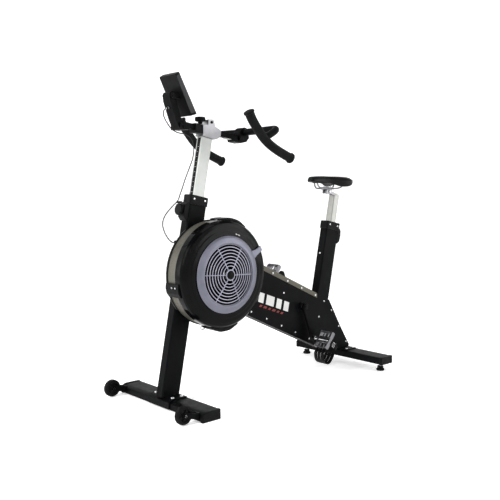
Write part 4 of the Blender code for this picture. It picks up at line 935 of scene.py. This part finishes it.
def pedal_body(side, name, centre, body):
    """Cast cage of the pedal with its studs, and the barrel on the spindle."""
    cx, cz = centre
    bm = bmesh.new()
    ring = mirrored([(-0.046, -0.008), (-0.04, -0.012), (-0.016, -0.012), (-0.012, -0.01),
                     (0.012, -0.01), (0.016, -0.012), (0.04, -0.012), (0.046, -0.008)])
    ring = fillet([(cx + x, cz + z) for x, z in ring], 0.003, 3)
    for a, b in ((PEDAL_IN, PEDAL_IN + 0.0075), (PEDAL_OUT - 0.0075, PEDAL_OUT)):
        prism(bm, ring, "y", *on_side(side, a, b))
    low, high = on_side(side, PEDAL_IN + 0.006, PEDAL_OUT - 0.006)
    for x0, x1 in ((-0.046, -0.039), (0.039, 0.046)):
        block(bm, (cx + x0, low, cz - 0.007), (cx + x1, high, cz + 0.007))
        for k in range(7):
            y = low + (high - low) * (k + 0.5) / 7
            for up in (-1.0, 1.0):
                a, b = sorted((cz + up * 0.0065, cz + up * 0.0116))
                block(bm, (cx + x0 + 0.0012, y - 0.0026, a), (cx + x1 - 0.0012, y + 0.0026, b))
    for x0, x1 in ((-0.015, -0.01), (0.01, 0.015)):
        block(bm, (cx + x0, low, cz - 0.008), (cx + x1, high, cz + 0.008))
    for k in range(2):
        y = low + (high - low) * (k + 1) / 3
        for x0, x1 in ((-0.04, -0.014), (0.014, 0.04)):
            block(bm, (cx + x0, y - 0.0022, cz - 0.005), (cx + x1, y + 0.0022, cz + 0.005))
    piece("pedal_frame_" + name, hang(bm, centre), "dark_cast", body, ("pedal_" + name,), 0.0009)
    bm = bmesh.new()
    lathe(bm, (cx, side * PEDAL_IN, cz), (0, side, 0),
          fillet([(0.007, 0.0005), (0.0098, 0.0005), (0.0098, 0.016), (0.0086, 0.026),
                  (0.0086, 0.056), (0.0098, 0.066), (0.0098, 0.079), (0.006, 0.0793),
                  (0.007, 0.07)], 0.0012, 3), 40)
    piece("pedal_barrel_" + name, bm, "steel", body)


CAGE = ((-0.046, -0.0055), (-0.075, -0.0062), (-0.097, -0.0258), (-0.1035, -0.05),
        (-0.094, -0.071), (-0.07, -0.0796), (-0.035, -0.0776))
CAGE_THICK = 0.0034


def toe_cage(side, name, centre, body):
    """Moulded basket: three bands bent round the shoe's front, joined by cross bars."""
    cx, cz = centre
    line = catmull([(cx + x, 0.0, cz + z) for x, z in CAGE], 0.005)
    bm = bmesh.new()
    for lo, hi in ((0.1, 0.119), (0.1222, 0.1408), (0.144, 0.163)):
        loops = []
        for k, p in enumerate(line):
            d = heading(line, k)
            out = Vector((-d.z, 0, d.x)) * CAGE_THICK * 0.5
            loops.append([p + out * s + Vector((0, side * y, 0)) for s, y in rect(-1, 1, lo, hi)])
        skin(bm, loops)
    for at in (0.1, 0.42, 0.7, 0.97):
        k = int(at * (len(line) - 1))
        p = line[k]
        d = heading(line, k) * 0.0045
        out = Vector((-d.z, 0, d.x)).normalized() * CAGE_THICK * 0.5
        skin(bm, [[p + d * a + out * b + Vector((0, y, 0)) for a, b in rect(-1, 1, -1, 1)]
                  for y in on_side(side, 0.101, 0.162)])
    piece("toe_cage_" + name, hang(bm, centre), "plastic", body, (), 0.0006)


def toe_strap(side, name, centre, body):
    """Strap round the basket, and its buckle on the outer side."""
    cx, cz = centre
    path = [(0.0914, -0.0085), (0.0914, -0.03), (0.0916, -0.048), (0.095, -0.066),
            (0.103, -0.0762), (0.115, -0.0771), (0.149, -0.0771), (0.161, -0.0762),
            (0.169, -0.066), (0.1722, -0.048), (0.1724, -0.03), (0.1724, -0.0085)]
    line = catmull([(0.0, y, z) for y, z in path], 0.004)
    bm = bmesh.new()
    loops = []
    for k, p in enumerate(line):
        d = heading(line, k)
        q = Vector((0, -d.z, d.y))
        loops.append([(cx - 0.006 + x, side * (p.y + q.y * t), cz + p.z + q.z * t) for x, t in
                      ((-0.01, -0.0007), (0.01, -0.0007), (0.0104, 0.0), (0.01, 0.0007),
                       (-0.01, 0.0007), (-0.0104, 0.0))])
    skin(bm, loops)
    piece("toe_strap_" + name, hang(bm, centre), "rubber", body)
    bm = bmesh.new()
    for x0, x1, z0, z1 in ((-0.0185, -0.0165, -0.042, -0.024), (0.0045, 0.0065, -0.042, -0.024),
                           (-0.0185, 0.0065, -0.026, -0.024), (-0.0185, 0.0065, -0.034, -0.032),
                           (-0.0185, 0.0065, -0.042, -0.04)):
        lo, hi = on_side(side, 0.1716, 0.1738)
        block(bm, (cx + x0, lo, cz + z0), (cx + x1, hi, cz + z1))
    piece("strap_buckle_" + name, hang(bm, centre), "steel", body, (), 0.0004)


def pedals():
    for side, name, centre in PEDALS:
        body = "pedal_%s_body" % name
        pedal_body(side, name, centre, body)
        toe_cage(side, name, centre, body)
        toe_strap(side, name, centre, body)
    bm = bmesh.new()
    for side in (-1.0, 1.0):
        lathe(bm, (CRANK_X, side * 0.0621, CRANK_Z), (0, side, 0),
              fillet([(0.0, 0.0), (0.011, 0.0), (0.011, 0.003), (0.0095, 0.0042),
                      (0.0, 0.0042)], 0.0006, 3, False), 40, False)
    piece("crank_dust_caps", bm, "plastic", "crank")
    bm = bmesh.new()
    for side, _, (x, z) in PEDALS:
        lathe(bm, (x, side * 0.0624, z), (0, side, 0),
              fillet([(0.0, 0.0), (0.009, 0.0), (0.009, 0.006), (0.0062, 0.007),
                      (0.0062, 0.029), (0.0, 0.029)], 0.0006, 2, False), 24, False)
    piece("pedal_spindles", bm, "steel", "crank")


# ---- small fittings ----

CAP_SCREWS = ((0.08, 0.531), (0.182, 0.485), (0.282, 0.44), (0.385, 0.3935))
PLATE_SCREWS = ((0.157, 0.427), (0.415, 0.277), (0.454, 0.354), (0.513, 0.3), (0.572, 0.207),
                (0.634, 0.115), (0.541, 0.092), (-0.06, 0.358), (0.04, 0.312), (0.141, 0.265),
                (0.24, 0.219), (0.341, 0.172))
PLATE_SLOPE = -0.36
# name, finish, bottom and top edge, then each block's start and width
GRAPHICS = (("pale", "white_print", 0.396, 0.446,
             ((-0.016, 0.034), (0.034, 0.052), (0.102, 0.034), (0.152, 0.034))),
            ("red", "red_print", 0.374, 0.386,
             ((-0.01, 0.014), (0.016, 0.02), (0.048, 0.014), (0.074, 0.02), (0.106, 0.014),
              (0.132, 0.014))))


def screw_pair(bm, x, y, z, r, h):
    """The same screw on both sides of the bike."""
    for side in (-1.0, 1.0):
        cap_screw(bm, (x, side * y, z), (0, side, 0), r, h)


def frame_screws():
    bm = bmesh.new()
    for places, y in ((CAP_SCREWS, 0.0297), (PLATE_SCREWS, 0.0274)):
        for x, z in places:
            screw_pair(bm, x, y, z, 0.005, 0.0024)
    for xs, half, z, r, h in (((-0.545, -0.498), 0.061, 0.045, 0.008, 0.0055),
                              ((0.612, 0.662), 0.051, 0.0809, 0.007, 0.0045)):
        for x in xs:
            for y in (-half, half):
                cap_screw(bm, (x, y, z), (0, 0, 1), r, h)
    back = across(SEAT_UP)
    for z in (0.597, 0.36):
        cap_screw(bm, SEAT_FOOT + SEAT_UP * (z / SEAT_UP.z) - back * 0.0464, -back, 0.005, 0.0024)
    piece("frame_screws", bm, "steel", "frame")
    bm = bmesh.new()
    screw_pair(bm, -0.293, 0.0259, 1.231, 0.0062, 0.0034)
    piece("head_bolts", bm, "plastic", "bar_post")


def graphic_bars():
    """Plain printed blocks on the frame plates."""
    for name, style, low, high, blocks in GRAPHICS:
        bm = bmesh.new()
        for x, width in blocks:
            pts = [(x, low), (x + width, low), (x + width + 0.01, high), (x + 0.01, high)]
            out = [(px, pz + PLATE_SLOPE * px) for px, pz in pts]
            for side in (-1.0, 1.0):
                prism(bm, out, "y", *on_side(side, 0.0275, 0.0278))
        piece("frame_graphic_" + name, bm, style, "frame")


# ---- console ----

FACE_FOOT = Vector((-0.4005, 0, 1.257))
FACE_UP = Vector((-0.48232, 0, 0.876))
FACE_OUT = Vector((0.876, 0, 0.48232))
SHELL_SIDE = ((-0.429, 1.2478), (-0.4005, 1.257), (-0.493, 1.425), (-0.512, 1.413))
BUTTON_AT = (-0.41883, 1.29029)


def face_slab(bm, s0, s1, y0, y1, d0, d1):
    """Slab on the console's face: s up the face, y across it, d out of it."""
    corners = [(s0, y0), (s0, y1), (s1, y1), (s1, y0)]
    ring = [FACE_FOOT + FACE_UP * s + Vector((0, y, 0)) for s, y in corners]
    skin(bm, [[p + FACE_OUT * d0 for p in ring], [p + FACE_OUT * d1 for p in ring]])


def console_face():
    """Bezel round the screen and the printed marks above and below it."""
    bm = bmesh.new()
    for s0, s1, y0, y1 in ((0.066, 0.071, -0.054, 0.054), (0.177, 0.182, -0.054, 0.054),
                           (0.066, 0.182, -0.054, -0.049), (0.066, 0.182, 0.049, 0.054)):
        face_slab(bm, s0, s1, y0, y1, -0.0006, 0.0006)
    piece("console_bezel", bm, "grey_plastic", "console", (), 0.0005)
    bm = bmesh.new()
    for k in range(3):
        face_slab(bm, 0.058 - 0.012 * k, 0.06 - 0.012 * k, -0.016, 0.016, -0.0004, 0.0003)
    for k in range(4):
        face_slab(bm, 0.186, 0.1885, -0.04 + 0.024 * k, -0.032 + 0.024 * k, -0.0004, 0.0003)
    piece("console_scale_marks", bm, "white_print", "console")


def console_sides():
    mid = Vector((sum(p[0] for p in SHELL_SIDE) / 4, sum(p[1] for p in SHELL_SIDE) / 4))
    inner = [tuple(mid + (Vector(p) - mid) * 0.9) for p in SHELL_SIDE]
    for side, name in SIDES:
        bm = bmesh.new()
        prism(bm, fillet(inner, 0.006, 5), "y", *on_side(side, 0.0583, 0.0592))
        piece("console_cheek_" + name, bm, "grey_plastic", "console", (), 0.0003)


def console_buttons():
    for i, y in enumerate((-0.028, 0.028), 1):
        node = "console_button_%d" % i
        centre = Vector((BUTTON_AT[0], y, BUTTON_AT[1]))
        top = max((Vector(v.co) - centre).dot(FACE_OUT) for v in CAD[node].data.vertices)
        bm = bmesh.new()
        lathe(bm, centre, FACE_OUT,
              fillet([(0.0, top - 0.004), (0.0078, top - 0.004), (0.0078, top - 0.0004),
                      (0.006, top), (0.0, top)], 0.0008, 4, False), 40, False)
        piece("push_button_%d" % i, bm, "rubber", "button_%d" % i, (node,))


# ---- plug, strips and collar screws ----

SCALE_MARKS = 20
SCALE_FIRST = 0.7
SCALE_PITCH = 0.022


def lead_plug():
    bm = bmesh.new()
    lathe(bm, (-0.5038, 0, 1.2805), (-0.94, 0, -0.34),
          fillet([(0.0, 0.0), (0.0052, 0.0), (0.0052, 0.007), (0.0038, 0.008), (0.0036, 0.016),
                  (0.0024, 0.0172), (0.0, 0.0172)], 0.0006, 3, False), 28, False)
    piece("lead_plug", bm, "steel", "console_arm_body")


def rail_strip():
    """Light strip under the reach rail, short enough to clear the head casting."""
    bm = bmesh.new()
    loops = []
    for x in (-0.201, -0.166):
        z = 1.1959 - 0.14 * (x + 0.3)
        loops.append([(x, y, z - d) for y, d in ((-0.0105, 0.0122), (0.0105, 0.0122),
                                                 (0.0105, 0.015), (-0.0105, 0.015))])
    skin(bm, loops)
    piece("reach_rail_strip", bm, "brushed", "bar_slide", (), 0.0004)


def mast_scale():
    """Dark strip in the front mast's front face, with a printed height scale."""
    back = across(FRONT_UP)

    def ring(p, half, front, rear):
        return [p + back * u + Vector((0, v, 0))
                for u, v in ((front, -half), (front, half), (rear, half), (rear, -half))]

    bm = bmesh.new()
    skin(bm, [ring(FRONT_FOOT + FRONT_UP * (z / FRONT_UP.z), 0.01, -0.0293, -0.0279)
              for z in (0.64, 1.158)])
    piece("mast_scale_strip", bm, "plastic", "bar_post", (), 0.0003)
    bm = bmesh.new()
    for k in range(SCALE_MARKS):
        p = FRONT_FOOT + FRONT_UP * ((SCALE_FIRST + SCALE_PITCH * k) / FRONT_UP.z)
        half = 0.008 if k % 5 == 0 else 0.0045
        skin(bm, [ring(p + FRONT_UP * d, half, -0.02955, -0.0292) for d in (-0.0005, 0.0005)])
    piece("mast_scale_marks", bm, "white_print", "bar_post")


def collar_screws():
    bm = bmesh.new()
    for foot, up, height in ((FRONT_FOOT, FRONT_UP, 0.906), (SEAT_FOOT, SEAT_UP, 0.765)):
        for du in (-0.03, 0.03):
            p = foot + up * height + across(up) * du
            screw_pair(bm, p.x, 0.0274, p.z, 0.0045, 0.0022)
    piece("collar_screws", bm, "steel", "frame")


# ---- console lead ----

LEAD = ((-0.5204, 0, 1.2745), (-0.5275, 0, 1.2712), (-0.533, 0, 1.259), (-0.531, 0, 1.242),
        (-0.516, 0, 1.218), (-0.493, 0, 1.193), (-0.462, 0, 1.179), (-0.418, 0, 1.172),
        (-0.386, 0, 1.154), (-0.374, 0, 1.117), (-0.38, 0, 1.073), (-0.399, 0, 1.029),
        (-0.42, 0, 0.985), (-0.438, 0, 0.942), (-0.452, 0, 0.91), (-0.464, 0, 0.886),
        (-0.494, 0, 0.861), (-0.529, -0.005, 0.831), (-0.55, -0.012, 0.802),
        (-0.556, -0.02, 0.777), (-0.55, -0.027, 0.75), (-0.537, -0.0315, 0.727),
        (-0.521, -0.0335, 0.7125), (-0.5068, -0.0335, 0.7105))
LEAD_R = 0.0021
# indices into LEAD: where a stretch ends and the next one starts, and the clip on the collar
LEAD_CUTS = (5, 9)
LEAD_CLIP = 15
LEAD_STEP = 0.005
CLIP_LOW = (-0.466, -0.0048, 0.877)
CLIP_HIGH = (-0.444, 0.0048, 0.885)


def lead():
    """The console's lead in three stretches, one for each pair of bodies that it crosses."""
    one, two = LEAD_CUTS
    stretches = (("lead_arm", 0, one, one, "console_arm_body", "bar_slide"),
                 ("lead_head", one, two, two, "bar_slide", "bar_post"),
                 ("lead_mast", two, len(LEAD) - 1, LEAD_CLIP, "bar_post", "frame"))
    whole = catmull(LEAD, LEAD_STEP)
    marks = []
    at = 0
    for i in range(len(LEAD) - 1):
        marks.append(at)
        at += max(1, round((Vector(LEAD[i + 1]) - Vector(LEAD[i])).length / LEAD_STEP))
    marks.append(at)
    for name, i0, i1, held, a, b in stretches:
        line = whole[marks[i0]:marks[i1] + 1]
        bm = bmesh.new()
        tube(bm, line, LEAD_R, 14)
        obj = piece(name, bm, "cable", a)
        world = obj.matrix_world.copy()
        obj.parent = None
        obj.matrix_world = world
        del obj["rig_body"]
        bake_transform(obj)
        if i0 == 0:
            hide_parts("console_lead")
    bm = bmesh.new()
    block(bm, CLIP_LOW, CLIP_HIGH)
    piece("lead_clip", bm, "plastic", "frame", (), 0.001)


# ---- studio ----

STUDIO_WALL = ((0.0, 0.0), (6.0, 0.0), (7.5, 0.25), (8.6, 1.0), (9.2, 2.2), (9.4, 9.0))
STUDIO_SIDES = 48
SKY_STRENGTH = 0.16
VIEW_GAMMA = 0.86
AIM = Vector((0.0, 0.0, 0.6))
# name, place, width and height, power
LAMPS = (("key", (-3.4, -0.2, 2.7), (0.7, 2.2), 95.0),
         ("front", (-3.0, 2.2, 1.3), (1.4, 2.0), 22.0),
         ("side", (3.0, -3.4, 1.5), (2.6, 2.6), 55.0),
         ("top", (0.2, -0.4, 4.2), (2.6, 2.6), 45.0))


def backdrop():
    """Pale floor that curves up into a round, softly glowing wall."""
    f = Finish("floor", "")
    f.put(f.ramp(f.noise(3.0, 4.0), (0.905, 0.905, 0.905), (0.925, 0.925, 0.925)),
          f.span(f.noise(12.0, 4.0), 0.55, 0.7), Emission_Color=(1, 1, 1, 1),
          Emission_Strength=0.4, Specular_IOR_Level=0.1)
    f.bumps((f.noise(200.0, 3.0), 0.04, 0.0005))
    bm = bmesh.new()
    wall = fillet(STUDIO_WALL, 1.5, 3, False)
    turns = [math.tau * k / STUDIO_SIDES for k in range(STUDIO_SIDES)]
    skin(bm, [[(r * math.cos(a), r * math.sin(a), z) for r, z in wall] for a in turns],
         closed_loop=False, wrap=True, caps=False)
    bmesh.ops.remove_doubles(bm, verts=bm.verts[:], dist=1e-4)
    mesh = bpy.data.meshes.new("backdrop")
    bm.to_mesh(mesh)
    bm.free()
    mesh.polygons.foreach_set("use_smooth", [True] * len(mesh.polygons))
    mesh.materials.append(MAT["floor"])
    place("backdrop", mesh)


def lights():
    """A dim even sky, four soft lamps and the picture's contrast."""
    world = bpy.data.worlds.new("studio")
    bpy.context.scene.world = world
    world.use_nodes = True
    sky = world.node_tree.nodes["Background"]
    sky.inputs["Color"].default_value = (1.0, 1.0, 1.0, 1)
    sky.inputs["Strength"].default_value = SKY_STRENGTH
    for name, at, size, power in LAMPS:
        lamp = bpy.data.lights.new(name, "AREA")
        lamp.shape = "RECTANGLE"
        lamp.size, lamp.size_y = size
        lamp.energy = power
        lit = place(name, lamp)
        lit.location = at
        lit.rotation_mode = "QUATERNION"
        lit.rotation_quaternion = (AIM - Vector(at)).to_track_quat("-Z", "Y")
    view = bpy.context.scene.view_settings
    view.view_transform = "Standard"
    view.gamma = VIEW_GAMMA


camera()
finishes()
lead()
dress_cad()
fan_housing()
fan_clips()
damper()
grille()
feet()
wheels()
knobs()
handlebar()
saddle()
pedals()
frame_screws()
graphic_bars()
console_face()
console_sides()
console_buttons()
lead_plug()
rail_strip()
mast_scale()
collar_screws()
backdrop()
lights()
